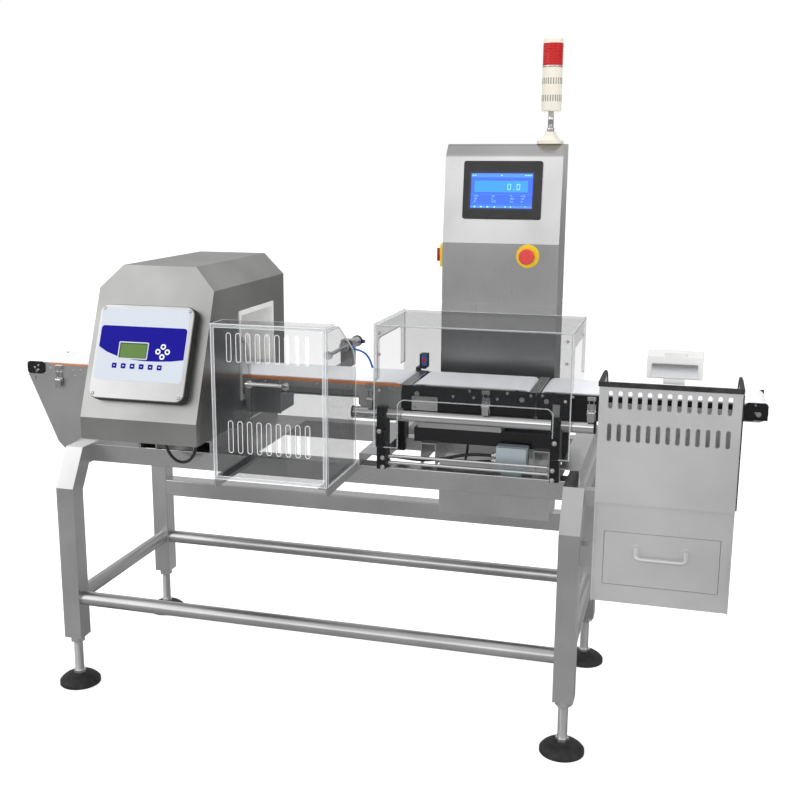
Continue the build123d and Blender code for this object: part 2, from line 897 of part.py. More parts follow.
def end_fittings():
    """Black roller carriers at the two outer ends, and the caps of the carrier tubes."""
    z = (end_carrier_top - end_carrier_height, end_carrier_top)
    strip_face = front_plate[0] - strip_thickness
    left = (infeed_plates[0], infeed_plates[0] + end_carrier_length)
    right = (outfeed_plates[1] - end_carrier_length, outfeed_plates[1])
    solids = []
    for x, face, bores in ((left, strip_face, shaft_bores(infeed_rollers)),
                           (right, front_plate[0], shaft_bores(outfeed_rollers))):
        outline = rectangle(x, z)
        outline = fillet(outline.vertices(), saddle_corner)
        solids.append(along_y((face - end_carrier_thickness, face), outline) - bores)
    for y in carrier_rows:
        for x in ((carrier_left - carrier_cap, carrier_left), (carrier_right, carrier_right + carrier_cap)):
            solids.append(rod_x(x, y, carrier_height, carrier_diameter))
    return solids


def belt_motors():
    """A gearbox and a motor under each long belt, bolted behind the front side plate."""
    z = (gearbox_bottom, below_belt)
    y = (front_plate[1], front_plate[1] + gearbox_depth)
    flange_back = y[1] + motor_flange
    solids = []
    for left in gearbox_lefts:
        x = (left, left + gearbox_width)
        middle = (x[0] + x[1]) / 2
        box = softened(block(x, y, z), Axis.Y, gearbox_corner)
        flange = block((middle - motor_diameter / 2, middle + motor_diameter / 2), (y[1], flange_back), z)
        motor = rod_y(middle, (flange_back, flange_back + motor_length), (z[0] + z[1]) / 2, motor_diameter)
        solids.append(box + flange + motor)
    return solids


# Carriers under the weighing and outfeed conveyors

def carrier_tubes():
    """Two round tubes, and two tie rods with their nuts between the front clamps."""
    run = (carrier_left, carrier_right)
    bore = carrier_diameter - 2 * carrier_wall
    solids = [rod_x(run, y, carrier_height, carrier_diameter) - rod_x(run, y, carrier_height, bore)
              for y in carrier_rows]
    inner = (clamp_lefts[0] + clamp_width, clamp_lefts[1])
    nut = extrude(RegularPolygon(tie_rod_nut_across / 2, 6, major_radius=False), tie_rod_nut)
    for z in tie_rod_heights:
        rod = rod_x(inner, carrier_rows[0], z, tie_rod_diameter)
        for x in (inner[0], inner[1] - tie_rod_nut):
            rod += Pos(x, carrier_rows[0], z) * Rot(0, 90, 0) * nut
        solids.append(rod)
    return solids


def carrier_clamps():
    """Uprights that hold the tubes, and the bright face plates of the weighing section."""
    solids = []
    for y in carrier_rows:
        side = (y - clamp_depth / 2, y + clamp_depth / 2)
        outline = rounded(rectangle(side, (beam_top, clamp_top)), clamp_corner,
                          (side[0], clamp_top), (side[1], clamp_top))
        bore = rod_x((carrier_left, carrier_right), y, carrier_height, carrier_diameter + 2 * running_fit)
        saddle_room = block((clamp_lefts[0] - overrun, clamp_lefts[1] + clamp_width + overrun),
                            (y - plate_thickness / 2 - clearance, y + plate_thickness / 2 + clearance),
                            (carrier_height, clamp_top + overrun))
        for x in clamp_lefts:
            solids.append(along_x((x, x + clamp_width), outline) - bore - saddle_room)
    for x in face_plates:
        plate = block(x, (front_plate[0] - face_plate_thickness, front_plate[0]),
                      (face_plate_bottom, face_plate_bottom + face_plate_height))
        solids.append(plate - shaft_bores(weigh_rollers + outfeed_rollers))
    return solids


def weigh_base():
    """A closed housing on two bearers, with a hole for the load cell's post."""
    x, y, z = (base_left, base_right), (base_front, base_back), (base_bottom, base_top)
    inner = [(a + base_wall, b - base_wall) for a, b in (x, y, z)]
    shell = block(x, y, z) - block(*inner)
    post_x = weigh_middle + cell_length / 2 - cell_post_diameter / 2
    shell -= rod_z(post_x, belt_middle, (base_top - 2 * base_wall, base_top + overrun), cell_post_hole)
    return [shell]


def load_cell():
    """A bending beam with a double hole, bolted down at one end and carrying a post at the other."""
    left, right = weigh_middle - cell_length / 2, weigh_middle + cell_length / 2
    y = (belt_middle - cell_width / 2, belt_middle + cell_width / 2)
    floor = base_bottom + base_wall
    z = (floor + cell_pad, floor + cell_pad + cell_height)
    beam = block((left, right), y, z) + block((left, left + cell_post_diameter), y, (floor, z[0]))
    middle_z = (z[0] + z[1]) / 2
    for side in (-1, 1):
        beam -= rod_y(weigh_middle + side * cell_hole_spacing / 2, (y[0] - overrun, y[1] + overrun),
                      middle_z, cell_hole)
    web = (weigh_middle - cell_hole_spacing / 2, weigh_middle + cell_hole_spacing / 2)
    beam -= block(web, (y[0] - overrun, y[1] + overrun),
                  (middle_z - cell_hole / 4, middle_z + cell_hole / 4))
    post = rod_z(right - cell_post_diameter / 2, belt_middle, (z[1], spider_bottom), cell_post_diameter)
    return [beam + post]


def mounting_brackets():
    """Channels, bearers and a tray across the stand, and the small brackets that stand on them."""
    solids = [upturned_channel(x, channel_width, (channel_front, stand_depth), channel_height)
              for x in head_channel_lefts + tube_channel_lefts]
    solids += [upturned_channel(x, bearer_width, (bearer_front, bearer_back), base_bottom - beam_top)
               for x in bearer_lefts]
    solids.append(block((clamp_lefts[0] + clamp_width, clamp_lefts[1]),
                        (bearer_back, bearer_back + rear_bar_depth), (beam_top, channel_top)))
    solids.append(block((head_left, head_right + tray_reach), (front_beam_setback + tube, rear_beam_front),
                        (beam_top - tray_thickness, beam_top)))
    margin = (channel_width - riser_width) / 2
    for x in head_channel_lefts:
        for y in (riser_front, riser_back):
            solids.append(block((x + margin, x + margin + riser_width), (y, y + riser_width),
                                (channel_top, head_bottom)))
    rail_top = clear_bin_bottom - clearance
    for x, wall in ((clear_bin_left, clear_bin_left), (clear_bin_right - bin_rail_width,
                                                       clear_bin_right - bin_rail_wall)):
        flange = block((x, x + bin_rail_width), (clear_bin_front, front_beam_setback),
                       (rail_top - bin_rail_wall, rail_top))
        web = block((wall, wall + bin_rail_wall), (clear_bin_front, front_beam_setback),
                    (rail_top - bin_rail_drop, rail_top))
        solids.append(flange + web)
    for x in column_bracket_lefts:
        solids.append(block((x, x + column_bracket_width), (column_back, rear_beam_front),
                            (beam_top - tube, beam_top)))
    block_z = (hood_leg_bottom + hood_block_rise, hood_leg_bottom + hood_block_rise + hood_block_height)
    for y in ((hood_front + hood_sheet, carrier_rows[0] - clamp_depth / 2),
              (carrier_rows[1] + clamp_depth / 2, hood_back - hood_sheet)):
        for x in clamp_lefts:
            inside = (max(x, hood_left) + hood_block_inset, min(x + clamp_width, hood_right) - hood_block_inset)
            solids.append(block(inside, y, block_z))
    for y, z in hanger_places:
        solids.append(block((stand_length, steel_bin_left), y, z))
    solids.append(block((front_bar_left, front_bar_right), (base_front, base_front + front_bar_depth),
                        (base_top, base_top + front_bar_height)))
    return solids


# Latches on the front side plates

def latch_pin_setback():
    """How far the latch pin stands in front of the side plate."""
    return front_plate[0] - latch_base_thickness - latch_hub_gap - latch_hub_diameter / 2


def latch_face(name):
    """The face that a latch is fixed to: the left one sits on the cover strip."""
    return front_plate[0] - (strip_thickness if name == "infeed_left" else 0)


def latch_bases():
    """Base plates with two ears and a pin, and the keepers that the bails hook over."""
    solids = []
    for name, x in latch_centres.items():
        shift = latch_face(name) - front_plate[0]
        face = front_plate[0] + shift
        pin_y = latch_pin_setback() + shift
        half = latch_width / 2
        base_z = (latch_base_bottom, latch_base_bottom + latch_base_height)
        base = block((x - half, x + half), (face - latch_base_thickness, face), base_z)
        ear_z = (latch_pin_height - latch_hub_diameter / 2, latch_pin_height + latch_hub_diameter / 2)
        for ear in (x - half, x + half - latch_ear_thickness):
            base += block((ear, ear + latch_ear_thickness),
                          (pin_y - latch_hub_diameter / 2, face - latch_base_thickness), ear_z)
        base += rod_x((x - half, x + half), pin_y, latch_pin_height, latch_pin_diameter)
        keeper_z = (latch_keeper_top - latch_keeper_height, latch_keeper_top)
        keeper = block((x - half, x + half), (face - latch_keeper_depth, face), keeper_z)
        bail_x = half - latch_ear_thickness - latch_bail_diameter
        bail_z = (ear_z[1] + latch_bail_gap, keeper_z[0])
        for side in (-1, 1):
            keeper += rod_z(x + side * bail_x, pin_y, (bail_z[0], keeper_z[1] - latch_bail_diameter),
                            latch_bail_diameter)
        solids += [base, keeper]
    return solids


def latch_lever(name):
    """A lever that hangs from its pin in front of the base plate."""
    x = latch_centres[name]
    shift = latch_face(name) - front_plate[0]
    pin_y = latch_pin_setback() + shift
    half = latch_width / 2 - latch_ear_thickness - clearance
    hub = rod_x((x - half, x + half), pin_y, latch_pin_height, latch_hub_diameter)
    front = pin_y - latch_hub_diameter / 2
    lever = block((x - half, x + half), (front, front + latch_lever_thickness),
                  (latch_pin_height - latch_lever_length, latch_pin_height))
    bore = rod_x((x - latch_width, x + latch_width), pin_y, latch_pin_height,
                 latch_pin_diameter + 2 * running_fit)
    return [hub + lever - bore]


# Clear reject bin

def clear_bin():
    """A bin of clear sheets: slotted front, lid, two curved sides, floor and low back."""
    left, right = clear_bin_left, clear_bin_right
    front = (clear_bin_front, clear_bin_front + bin_sheet)
    z = (clear_bin_bottom, clear_bin_top)
    lid_z = (clear_bin_top - bin_sheet, clear_bin_top)
    face = rectangle((left, right), z)
    for row in (clear_bin_upper_slots, clear_bin_lower_slots):
        face -= slot_row(left + clear_bin_slot_side, right - clear_bin_slot_side, clear_bin_slots,
                         bin_slot_width, row)
    brow, nose = (clear_bin_brow_setback, clear_bin_brow_height), (clear_bin_back, clear_bin_nose)
    shoulder = (clear_bin_lid_back, lid_z[0])
    side = polygon((front[1], z[0]), (front[1], lid_z[0]), shoulder, brow, nose, (clear_bin_back, z[0]))
    side = rounded(side, clear_bin_curve, shoulder, brow)
    inner = (left + bin_sheet, right - bin_sheet)
    solids = [along_y(front, face),
              block((left, right), (front[1], clear_bin_lid_back - clear_bin_curve / 2), lid_z),
              along_x((left, inner[0]), side), along_x((inner[1], right), side),
              block(inner, (front[1], clear_bin_back), (z[0], z[0] + bin_sheet)),
              block(inner, (clear_bin_back - bin_sheet, clear_bin_back),
                    (z[0] + bin_sheet, clear_bin_back_top))]
    return solids


def clear_bin_handle():
    return bow_handle(clear_handle_left, clear_handle_span, clear_bin_front, clear_handle_reach,
                      clear_handle_height, clear_handle_rise)


# Steel reject bin and its drawer

def steel_side_profile():
    """A side sheet of the bin, drawn as (y, z), with a rounded shoulder that drops to the back."""
    front = steel_bin_front + steel_sheet
    shoulder = (steel_bin_front + steel_bin_flat, steel_bin_top)
    outline = polygon((front, steel_bin_bottom), (front, steel_bin_top), shoulder,
                      (steel_bin_back, steel_bin_lip), (steel_bin_back, steel_bin_bottom))
    return rounded(outline, steel_bin_curve, shoulder)


def window_x():
    return (steel_bin_left + post_width, steel_bin_right - post_width)


def steel_bin():
    """Slotted front, two sides, back, floor, the frame around the drawer, and its runners."""
    left, right = steel_bin_left, steel_bin_right
    inner = (left + steel_sheet, right - steel_sheet)
    front = (steel_bin_front, steel_bin_front + steel_sheet)
    header = (front[0] + steel_header_setback, front[0] + steel_header_setback + steel_sheet)
    back = (steel_bin_back - steel_sheet, steel_bin_back)
    face = rectangle((left, right), (steel_front_bottom, steel_bin_top))
    for row in (steel_upper_slots, steel_lower_slots):
        face -= slot_row(left + steel_slot_side, right - steel_slot_side, steel_slots, steel_slot_width, row)
    frame = rectangle(inner, (steel_bin_bottom, steel_front_bottom))
    frame -= rectangle(window_x(), (window_bottom, window_top))
    lip = block(inner, (front[1], header[1]), (steel_front_bottom, steel_front_bottom + steel_sheet))
    floor = block(inner, (header[1], back[0]), (steel_bin_bottom, steel_bin_bottom + steel_sheet))
    wall = block(inner, back, (steel_bin_bottom, steel_bin_lip))
    solids = [along_y(front, face), along_x((left, inner[0]), steel_side_profile()),
              along_x((inner[1], right), steel_side_profile()), along_y(header, frame), lip, floor, wall]
    runner_top = window_bottom + drawer_gap - clearance
    for x in ((inner[0], inner[0] + runner_width), (inner[1] - runner_width, inner[1])):
        solids.append(block(x, (header[1], back[0]), (runner_top - steel_sheet, runner_top)))
    return solids


def bin_drawer():
    """An open tray behind a front plate that fills the window, with a bar handle."""
    x = tuple(place + side * drawer_gap for place, side in zip(window_x(), (1, -1)))
    z = (window_bottom + drawer_gap, window_top - drawer_gap)
    face = steel_bin_front + steel_header_setback
    front = block(x, (face, face + steel_sheet), z)
    tray_y = (face + steel_sheet, face + steel_sheet + drawer_depth)
    tray = block(x, tray_y, (z[0], z[0] + drawer_side_height))
    tray -= block((x[0] + drawer_wall, x[1] - drawer_wall), (tray_y[0], tray_y[1] - drawer_wall),
                  (z[0] + drawer_wall, z[1]))
    middle = (x[0] + x[1]) / 2
    handle = bow_handle(middle - drawer_handle_span / 2, drawer_handle_span, face, drawer_handle_reach,
                        drawer_handle_height, -drawer_handle_droop)
    return [front + tray] + handle


def bin_trim():
    """Rubber edging over the top edges of the front and side sheets."""
    left, right = steel_bin_left, steel_bin_right
    z = (steel_bin_top + trim_thickness - trim_height, steel_bin_top + trim_thickness)
    y = (steel_bin_front - trim_thickness, steel_bin_front + steel_sheet + trim_thickness)
    trim = block((left - trim_thickness, right + trim_thickness), y, z)
    for x in ((left - trim_thickness, left + steel_sheet + trim_thickness),
              (right - steel_sheet - trim_thickness, right + trim_thickness)):
        trim += block(x, (y[0], steel_bin_front + trim_length), z)
    return [trim - steel_bin()]


# Clear hood

def hood_end_sheet():
    """The front or back sheet, drawn as (x, z): a wide apron between two legs."""
    inner = (hood_left + hood_leg_widths[0], hood_right - hood_leg_widths[1])
    corners = [(x, hood_apron_bottom) for x in inner]
    outline = polygon((hood_left, hood_leg_bottom), (hood_left, hood_top), (hood_right, hood_top),
                      (hood_right, hood_leg_bottom), (inner[1], hood_leg_bottom), corners[1],
                      corners[0], (inner[0], hood_leg_bottom))
    return rounded(outline, hood_corner, *corners)


def hood_side_sheet():
    """The left or right sheet, drawn as (y, z): a bar across two legs, open for the belt."""
    y = (hood_front + hood_sheet, hood_back - hood_sheet)
    top = hood_top - hood_sheet
    inner = (hood_front + hood_side_leg, hood_back - hood_side_leg)
    corners = [(a, top - hood_side_bar) for a in inner]
    outline = polygon((y[0], hood_side_bottom), (y[0], top), (y[1], top), (y[1], hood_side_bottom),
                      (inner[1], hood_side_bottom), corners[1], corners[0], (inner[0], hood_side_bottom))
    return rounded(outline, hood_corner, *corners)


def weigh_hood():
    x, y = (hood_left, hood_right), (hood_front, hood_back)
    inner_y = (y[0] + hood_sheet, y[1] - hood_sheet)
    return [along_y((y[0], inner_y[0]), hood_end_sheet()), along_y((inner_y[1], y[1]), hood_end_sheet()),
            along_x((x[0], x[0] + hood_sheet), hood_side_sheet()),
            along_x((x[1] - hood_sheet, x[1]), hood_side_sheet()),
            block(x, inner_y, (hood_top - hood_sheet, hood_top))]


# Electrical column and what is mounted on it

def column_profile():
    """The column from the side, drawn as (y, z), with a panel that leans back under the top."""
    lean_back = column_front + column_lean
    crown = ((lean_back, column_panel_top), (lean_back + column_crown, column_top))
    outline = polygon((column_front, column_bottom), (column_front, column_panel_bottom), *crown,
                      (column_back, column_top), (column_back, column_bottom))
    return rounded(outline, column_crown_curve, *crown)


def panel_plane():
    """A plane on the leaning panel: x to the right, y up the slope, z out of the column."""
    slope = Vector(0, column_lean, column_panel_top - column_panel_bottom).normalized()
    across = Vector(1, 0, 0)
    middle = (column_left + column_right) / 2
    return Plane(origin=(middle, column_front, column_panel_bottom), x_dir=across,
                 z_dir=across.cross(slope))


def screen_slab(share, corner, low, high):
    """A slab of the screen's outline between two distances from the leaning panel."""
    outline = RectangleRounded(screen_width * share, screen_height * share, corner)
    return Pos(0, screen_from_bottom + screen_height / 2, low) * extrude(outline, high - low)


def column_cabinet():
    """A tall sheet cabinet with cut-outs for the screen, the stop button and the main switch."""
    x = (column_left, column_right)
    cabinet = along_x(x, column_profile())
    inside = (x[0] + column_wall, x[1] - column_wall)
    cabinet -= along_x(inside, offset(column_profile(), amount=-column_wall))
    cabinet -= panel_plane() * screen_slab(screen_body_share, screen_corner, -screen_body_depth, overrun)
    wall_y = (column_front - overrun, column_front + overrun)
    cabinet -= rod_y(stop_x, wall_y, stop_height, stop_stem_diameter + 2 * clearance)
    cabinet -= rod_x((x[0] - overrun, x[0] + overrun), column_front + switch_setback, switch_height,
                     switch_shaft_diameter + 2 * clearance)
    for z in column_groove_heights:
        band = (z, z + column_groove_width)
        ring = block((x[0] - overrun, x[1] + overrun), (column_front - overrun, column_back + overrun), band)
        ring -= block((x[0] + column_groove, x[1] - column_groove),
                      (column_front + column_groove, column_back - column_groove), band)
        cabinet -= ring
    return [cabinet]


def operator_screen():
    """A bezel in front of the leaning panel with its housing behind."""
    bezel = screen_slab(1, screen_corner, 0, screen_thickness)
    bezel = fillet(bezel.faces().sort_by(Axis.Z)[-1].edges(), screen_edge)
    fitted = screen_body_share - 2 * clearance / screen_width
    body = screen_slab(fitted, screen_corner, clearance - screen_body_depth, 0)
    return [panel_plane() * (bezel + body)]


def stop_base():
    """A round plate with a collar in front of the column, around the button's stem."""
    bore = rod_y(stop_x, (column_front - stop_travel - stop_head_diameter, column_front + overrun),
                 stop_height, stop_stem_diameter + 2 * running_fit)
    face = column_front - stop_plate_thickness
    plate = rod_y(stop_x, (face, column_front), stop_height, stop_plate_diameter)
    collar = rod_y(stop_x, (face - stop_collar_height, face), stop_height, stop_collar_diameter)
    return [plate + collar - bore]


def stop_button():
    """A mushroom head on a stem that passes through the collar."""
    collar_front = column_front - stop_plate_thickness - stop_collar_height
    back = collar_front - stop_travel - clearance
    head = rod_y(stop_x, (back - stop_head_height, back), stop_height, stop_head_diameter)
    head = fillet(head.faces().sort_by(Axis.Y)[0].edges(), stop_head_edge)
    stem = rod_y(stop_x, (back, column_front + stop_stem_length), stop_height, stop_stem_diameter)
    return [head + stem]


def switch_centre():
    return column_front + switch_setback


def switch_plate():
    """A square plate on the column's left side, around the switch shaft."""
    half = switch_plate_size / 2
    middle = switch_centre()
    outline = rectangle((middle - half, middle + half), (switch_height - half, switch_height + half))
    outline = fillet(outline.vertices(), switch_plate_corner)
    plate = along_x((column_left - switch_plate_thickness, column_left), outline)
    bore = rod_x((column_left - switch_plate_size, column_left + overrun), middle, switch_height,
                 switch_shaft_diameter + 2 * running_fit)
    return [plate - bore]


def switch_handle():
    """A round knob with a raised grip, on a shaft."""
    middle = switch_centre()
    face = column_left - switch_plate_thickness - clearance
    knob_left = face - switch_knob_height
    handle = rod_x((knob_left, face), middle, switch_height, switch_knob_diameter)
    handle += rod_x((face, column_left + switch_shaft_length), middle, switch_height, switch_shaft_diameter)
    grip = block((knob_left - switch_grip_height, knob_left),
                 (middle - switch_grip_width / 2, middle + switch_grip_width / 2),
                 (switch_height - switch_grip_length / 2, switch_height + switch_grip_length / 2))
    return [handle + grip]


def tower_body():
    """The flared base, pole, lower housing, lamp core and cap of the signal tower."""
    base, pole, outer = tower_base_diameter / 2, tower_pole_diameter / 2, tower_diameter / 2
    core = tower_core_diameter / 2
    rim = (base, column_top + tower_base_rim)
    neck = (tower_neck_diameter / 2, column_top + tower_base_height)
    edges = Polyline(
        neck, (pole, neck[1]), (pole, tower_body_bottom), (outer, tower_body_bottom),
        (outer, tower_body_top), (core, tower_body_top), (core, tower_lens_top), (outer, tower_lens_top),
        (outer, tower_top), (0, tower_top), (0, column_top), (base, column_top), rim)
    outline = make_face(edges + bulge(neck, rim, tower_flare_shares))
    outline = rounded(outline, tower_edge, (outer, tower_top))
    return [Pos(tower_x, column_front + tower_setback, 0) * revolve(Plane.XZ * outline, Axis.Z)]


def tower_lens():
    place = (tower_x, column_front + tower_setback)
    z = (tower_body_top, tower_lens_top)
    return [rod_z(*place, z, tower_diameter) - rod_z(*place, z, tower_diameter - 2 * tower_wall)]


# Pushers and sensors

def pusher_cylinder():
    """The barrel with its end caps, in a block on an arm from the rear side plate."""
    run = (barrel_front, barrel_front + barrel_length)
    barrel = rod_y(pusher_x, run, pusher_height, barrel_diameter)
    for y in ((run[0], run[0] + barrel_cap_length), (run[1] - barrel_cap_length, run[1])):
        barrel += rod_y(pusher_x, y, pusher_height, barrel_cap_diameter)
    barrel -= rod_y(pusher_x, (run[0] - overrun, run[1] - overrun), pusher_height,
                    pusher_rod_diameter + 2 * running_fit)
    half = mount_block_width / 2
    arm_top = mount_arm_bottom + mount_arm_thickness
    x = (pusher_x - half, pusher_x + half)
    y = (mount_block_front, mount_block_front + mount_block_depth)
    mount = softened(block(x, y, (arm_top, pusher_height + half)), Axis.Y, rejector_corner)
    mount -= rod_y(pusher_x, (y[0] - overrun, y[1] + overrun), pusher_height,
                   barrel_diameter + 2 * running_fit)
    arm = block(x, (rear_plate[1], y[1]), (mount_arm_bottom, arm_top))
    return [barrel, mount, arm]


def pusher_rod():
    """A piston rod with a flat round head."""
    head = (pusher_head_front, pusher_head_front + pusher_head_length)
    end = barrel_front + pusher_travel + overrun
    return [rod_y(pusher_x, head, pusher_height, pusher_head_diameter)
            + rod_y(pusher_x, (head[1], end), pusher_height, pusher_rod_diameter)]


def paddle_rods(low, high, diameter):
    middle = (rejector_left + rejector_right) / 2
    height = rejector_bottom + paddle_lift + paddle_height / 2
    return [rod_y(middle + side * paddle_rod_spacing / 2, (low, high), height, diameter)
            for side in (-1, 1)]


def rejector_housing():
    """A pneumatic unit on a bent shelf, with a clip on top and two guide bores."""
    y = (rejector_front, rejector_front + rejector_depth)
    middle = (rejector_left + rejector_right) / 2
    clip = (middle - rejector_clip_width / 2, middle + rejector_clip_width / 2)
    body = softened(block((rejector_left, rejector_right), y, (rejector_bottom, rejector_top)), Axis.Y,
                    rejector_corner)
    depth = paddle_travel + 2 * overrun
    for bore in paddle_rods(y[0] - overrun, y[0] + depth, paddle_rod_diameter + 2 * running_fit):
        body -= bore
    cap = block(clip, (y[0], y[0] + rejector_depth / 2), (rejector_top, rejector_top + rejector_clip_height))
    shelf_z = (rejector_bottom - rejector_shelf, rejector_bottom)
    shelf = block(clip, (rear_plate[1], y[1]), shelf_z)
    shelf += block(clip, (rear_plate[1], rear_plate[1] + rejector_shelf), (plate_bottom, rejector_bottom))
    return [body, cap, shelf]


def rejector_paddle():
    """A flat blade on two guide rods."""
    back = rejector_front - clearance
    middle = (rejector_left + rejector_right) / 2
    low = rejector_bottom + paddle_lift
    blade = block((middle - paddle_width / 2, middle + paddle_width / 2), (back - paddle_thickness, back),
                  (low, low + paddle_height))
    for rod in paddle_rods(back, rejector_front + paddle_travel + overrun, paddle_rod_diameter):
        blade += rod
    return [blade]


def product_sensor():
    """A light sensor on an angle bracket behind the infeed's rear plate."""
    arm = (sensor_arm_left, sensor_arm_left + sensor_arm_width)
    x = (sensor_left, sensor_left + sensor_width)
    y = (sensor_front, sensor_front + sensor_depth)
    bracket = block(arm, (rear_plate[1], rear_plate[1] + sensor_arm_thickness),
                    (sensor_arm_bottom, sensor_bottom))
    bracket += block((arm[0], x[1]), (rear_plate[1], y[1]),
                     (sensor_bottom - sensor_arm_thickness, sensor_bottom))
    return [bracket, softened(block(x, y, (sensor_bottom, sensor_top)), Axis.Z, sensor_corner)]


def junction_box():
    """A cast box on a foot, with a front lid and two cable glands on the left."""
    x = (junction_left, junction_left + junction_width)
    y = (junction_front, junction_front + junction_depth)
    low = beam_top + junction_foot
    z = (low, low + junction_height)
    lid = (y[0] + junction_lid, y[1])
    box = softened(block(x, lid, z), Axis.Y, junction_corner)
    cover = softened(block((x[0] + junction_lid_inset, x[1] - junction_lid_inset), (y[0], lid[0]),
                           (z[0] + junction_lid_inset, z[1] - junction_lid_inset)), Axis.Y, junction_corner)
    foot = block((x[0] + gland_diameter, x[1] - gland_diameter), lid, (beam_top, low))
    middle = (y[0] + y[1]) / 2
    glands = [rod_x((x[0] - gland_length, x[0]), middle, z[0] + z_share * junction_height, gland_diameter)
              for z_share in gland_shares]
    return [box, cover, foot] + glands


def cable(route, diameter):
    """A cable whose bends are as wide as the runs beside them allow."""
    points = [Vector(*point) for point in route]
    radii = []
    for before, point, after in zip(points, points[1:], points[2:]):
        shorter = min((point - before).length, (after - point).length)
        turn = (point - before).get_angle(after - point)
        radii.append(arc_share * shorter / tan(radians(turn) / 2))
    print("cable bend radii", [round(radius) for radius in radii])
    return [bent_bar(points, diameter, radii)]


# All sub-parts by name
nodes = {
    "stand_legs": stand_legs(),
    "stand_rails": stand_rails(),
    "stand_beams": stand_beams(),
    "foot_lock_nuts": foot_lock_nuts(),
    "foot_front_left": levelling_foot(foot_xs[0], foot_ys[0]),
    "foot_front_right": levelling_foot(foot_xs[1], foot_ys[0]),
    "foot_rear_left": levelling_foot(foot_xs[0], foot_ys[1]),
    "foot_rear_right": levelling_foot(foot_xs[1], foot_ys[1]),
    "detector_housing": detector_housing(),
    "tunnel_liner": tunnel_liner(),
    "detector_coils": detector_coils(),
    "mounting_brackets": mounting_brackets(),
    "control_box": control_box(),
    "control_lid": control_lid(),
    "electronics": electronics(),
    "belts": belts(),
    "slider_beds": slider_beds(),
    "infeed_frame": infeed_frame(),
    "infeed_tail_roller": roller(infeed_rollers[0]),
    "infeed_drive_roller": roller(infeed_rollers[1]),
    "weigh_frame": weigh_frame(),
    "weigh_tail_roller": roller(weigh_rollers[0]),
    "weigh_drive_roller": roller(weigh_rollers[1]),
    "outfeed_frame": outfeed_frame(),
    "outfeed_tail_roller": roller(outfeed_rollers[0]),
    "outfeed_drive_roller": roller(outfeed_rollers[1]),
    "end_fittings": end_fittings(),
    "belt_motors": belt_motors(),
    "carrier_tubes": carrier_tubes(),
    "carrier_clamps": carrier_clamps(),
    "weigh_base": weigh_base(),
    "load_cell": load_cell(),
    "latch_bases": latch_bases(),
    "latch_infeed_left": latch_lever("infeed_left"),
    "latch_infeed_right": latch_lever("infeed_right"),
    "latch_weigh": latch_lever("weigh"),
    "latch_outfeed": latch_lever("outfeed"),
    "clear_bin": clear_bin(),
    "clear_bin_handle": clear_bin_handle(),
    "steel_bin": steel_bin(),
    "bin_drawer": bin_drawer(),
    "rubber_edging": control_gasket() + bin_trim(),
    "weigh_hood": weigh_hood(),
    "column_cabinet": column_cabinet(),
    "operator_screen": operator_screen(),
    "yellow_bases": stop_base() + switch_plate(),
    "stop_button": stop_button(),
    "switch_handle": switch_handle(),
    "tower_body": tower_body(),
    "tower_lens": tower_lens(),
    "pusher_cylinder": pusher_cylinder(),
    "pusher_rod": pusher_rod(),
    "rejector_housing": rejector_housing(),
    "rejector_paddle": rejector_paddle(),
    "product_sensor": product_sensor(),
    "junction_box": junction_box(),
    "detector_cable": cable(detector_cable_route, cable_diameter),
    "sensor_cable": cable(sensor_cable_route, cable_diameter),
    "drive_cable": cable(drive_cable_route, thin_cable_diameter),
    "air_hose": cable(air_hose_route, thin_cable_diameter),
}

# Move everything so that the middle of the footprint is the origin, and write one file for each
boxes = [shape.bounding_box() for shapes in nodes.values() for shape in shapes]
origin_x = (min(box.min.X for box in boxes) + max(box.max.X for box in boxes)) / 2
origin_y = (min(box.min.Y for box in boxes) + max(box.max.Y for box in boxes)) / 2
print("origin in the stand's frame", origin_x, origin_y)
os.makedirs("parts", exist_ok=True)
for name, shapes in nodes.items():
    solids = [solid for shape in shapes for solid in shape.solids()]
    export_step(Compound([Pos(-origin_x, -origin_y, 0) * solid for solid in solids]), f"parts/{name}.step")
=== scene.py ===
# Dresses the conveyor metal detector in its finishes and small details
import math

import bmesh
import bpy
from mathutils import Matrix, Vector


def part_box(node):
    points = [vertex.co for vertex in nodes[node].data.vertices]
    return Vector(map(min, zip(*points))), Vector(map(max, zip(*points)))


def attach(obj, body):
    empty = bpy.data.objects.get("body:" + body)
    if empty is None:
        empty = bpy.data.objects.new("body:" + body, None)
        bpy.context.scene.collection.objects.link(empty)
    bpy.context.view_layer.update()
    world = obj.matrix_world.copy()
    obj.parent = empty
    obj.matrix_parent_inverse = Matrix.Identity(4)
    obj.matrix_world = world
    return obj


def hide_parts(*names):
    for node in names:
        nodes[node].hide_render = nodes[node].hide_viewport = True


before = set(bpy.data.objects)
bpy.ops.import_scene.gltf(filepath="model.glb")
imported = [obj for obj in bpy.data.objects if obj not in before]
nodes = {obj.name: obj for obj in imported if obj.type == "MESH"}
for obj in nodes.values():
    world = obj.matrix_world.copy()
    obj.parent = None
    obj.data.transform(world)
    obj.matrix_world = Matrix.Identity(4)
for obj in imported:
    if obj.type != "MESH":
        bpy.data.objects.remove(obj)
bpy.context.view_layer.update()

# Places are in millimetres from the front left corner of the stand, on the floor
mm = 0.001
stand_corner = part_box("stand_legs")[0]
origin = Vector((stand_corner[0], stand_corner[1], 0))

# The camera, from the vanishing points of the photograph
camera_place = (1601.0, -2470.3, 1413.4)
camera_yaw = 0.278
camera_pitch = 0.2106
camera_roll = 0.003
focal_pixels = 1101.6
middle_pixel = (380.19, 397.86)
picture_pixels = 800
sensor = 36.0

# The body that doesn't move, and the steps of round outlines
machine = "machine"
circle_steps = 32
small_steps = 12

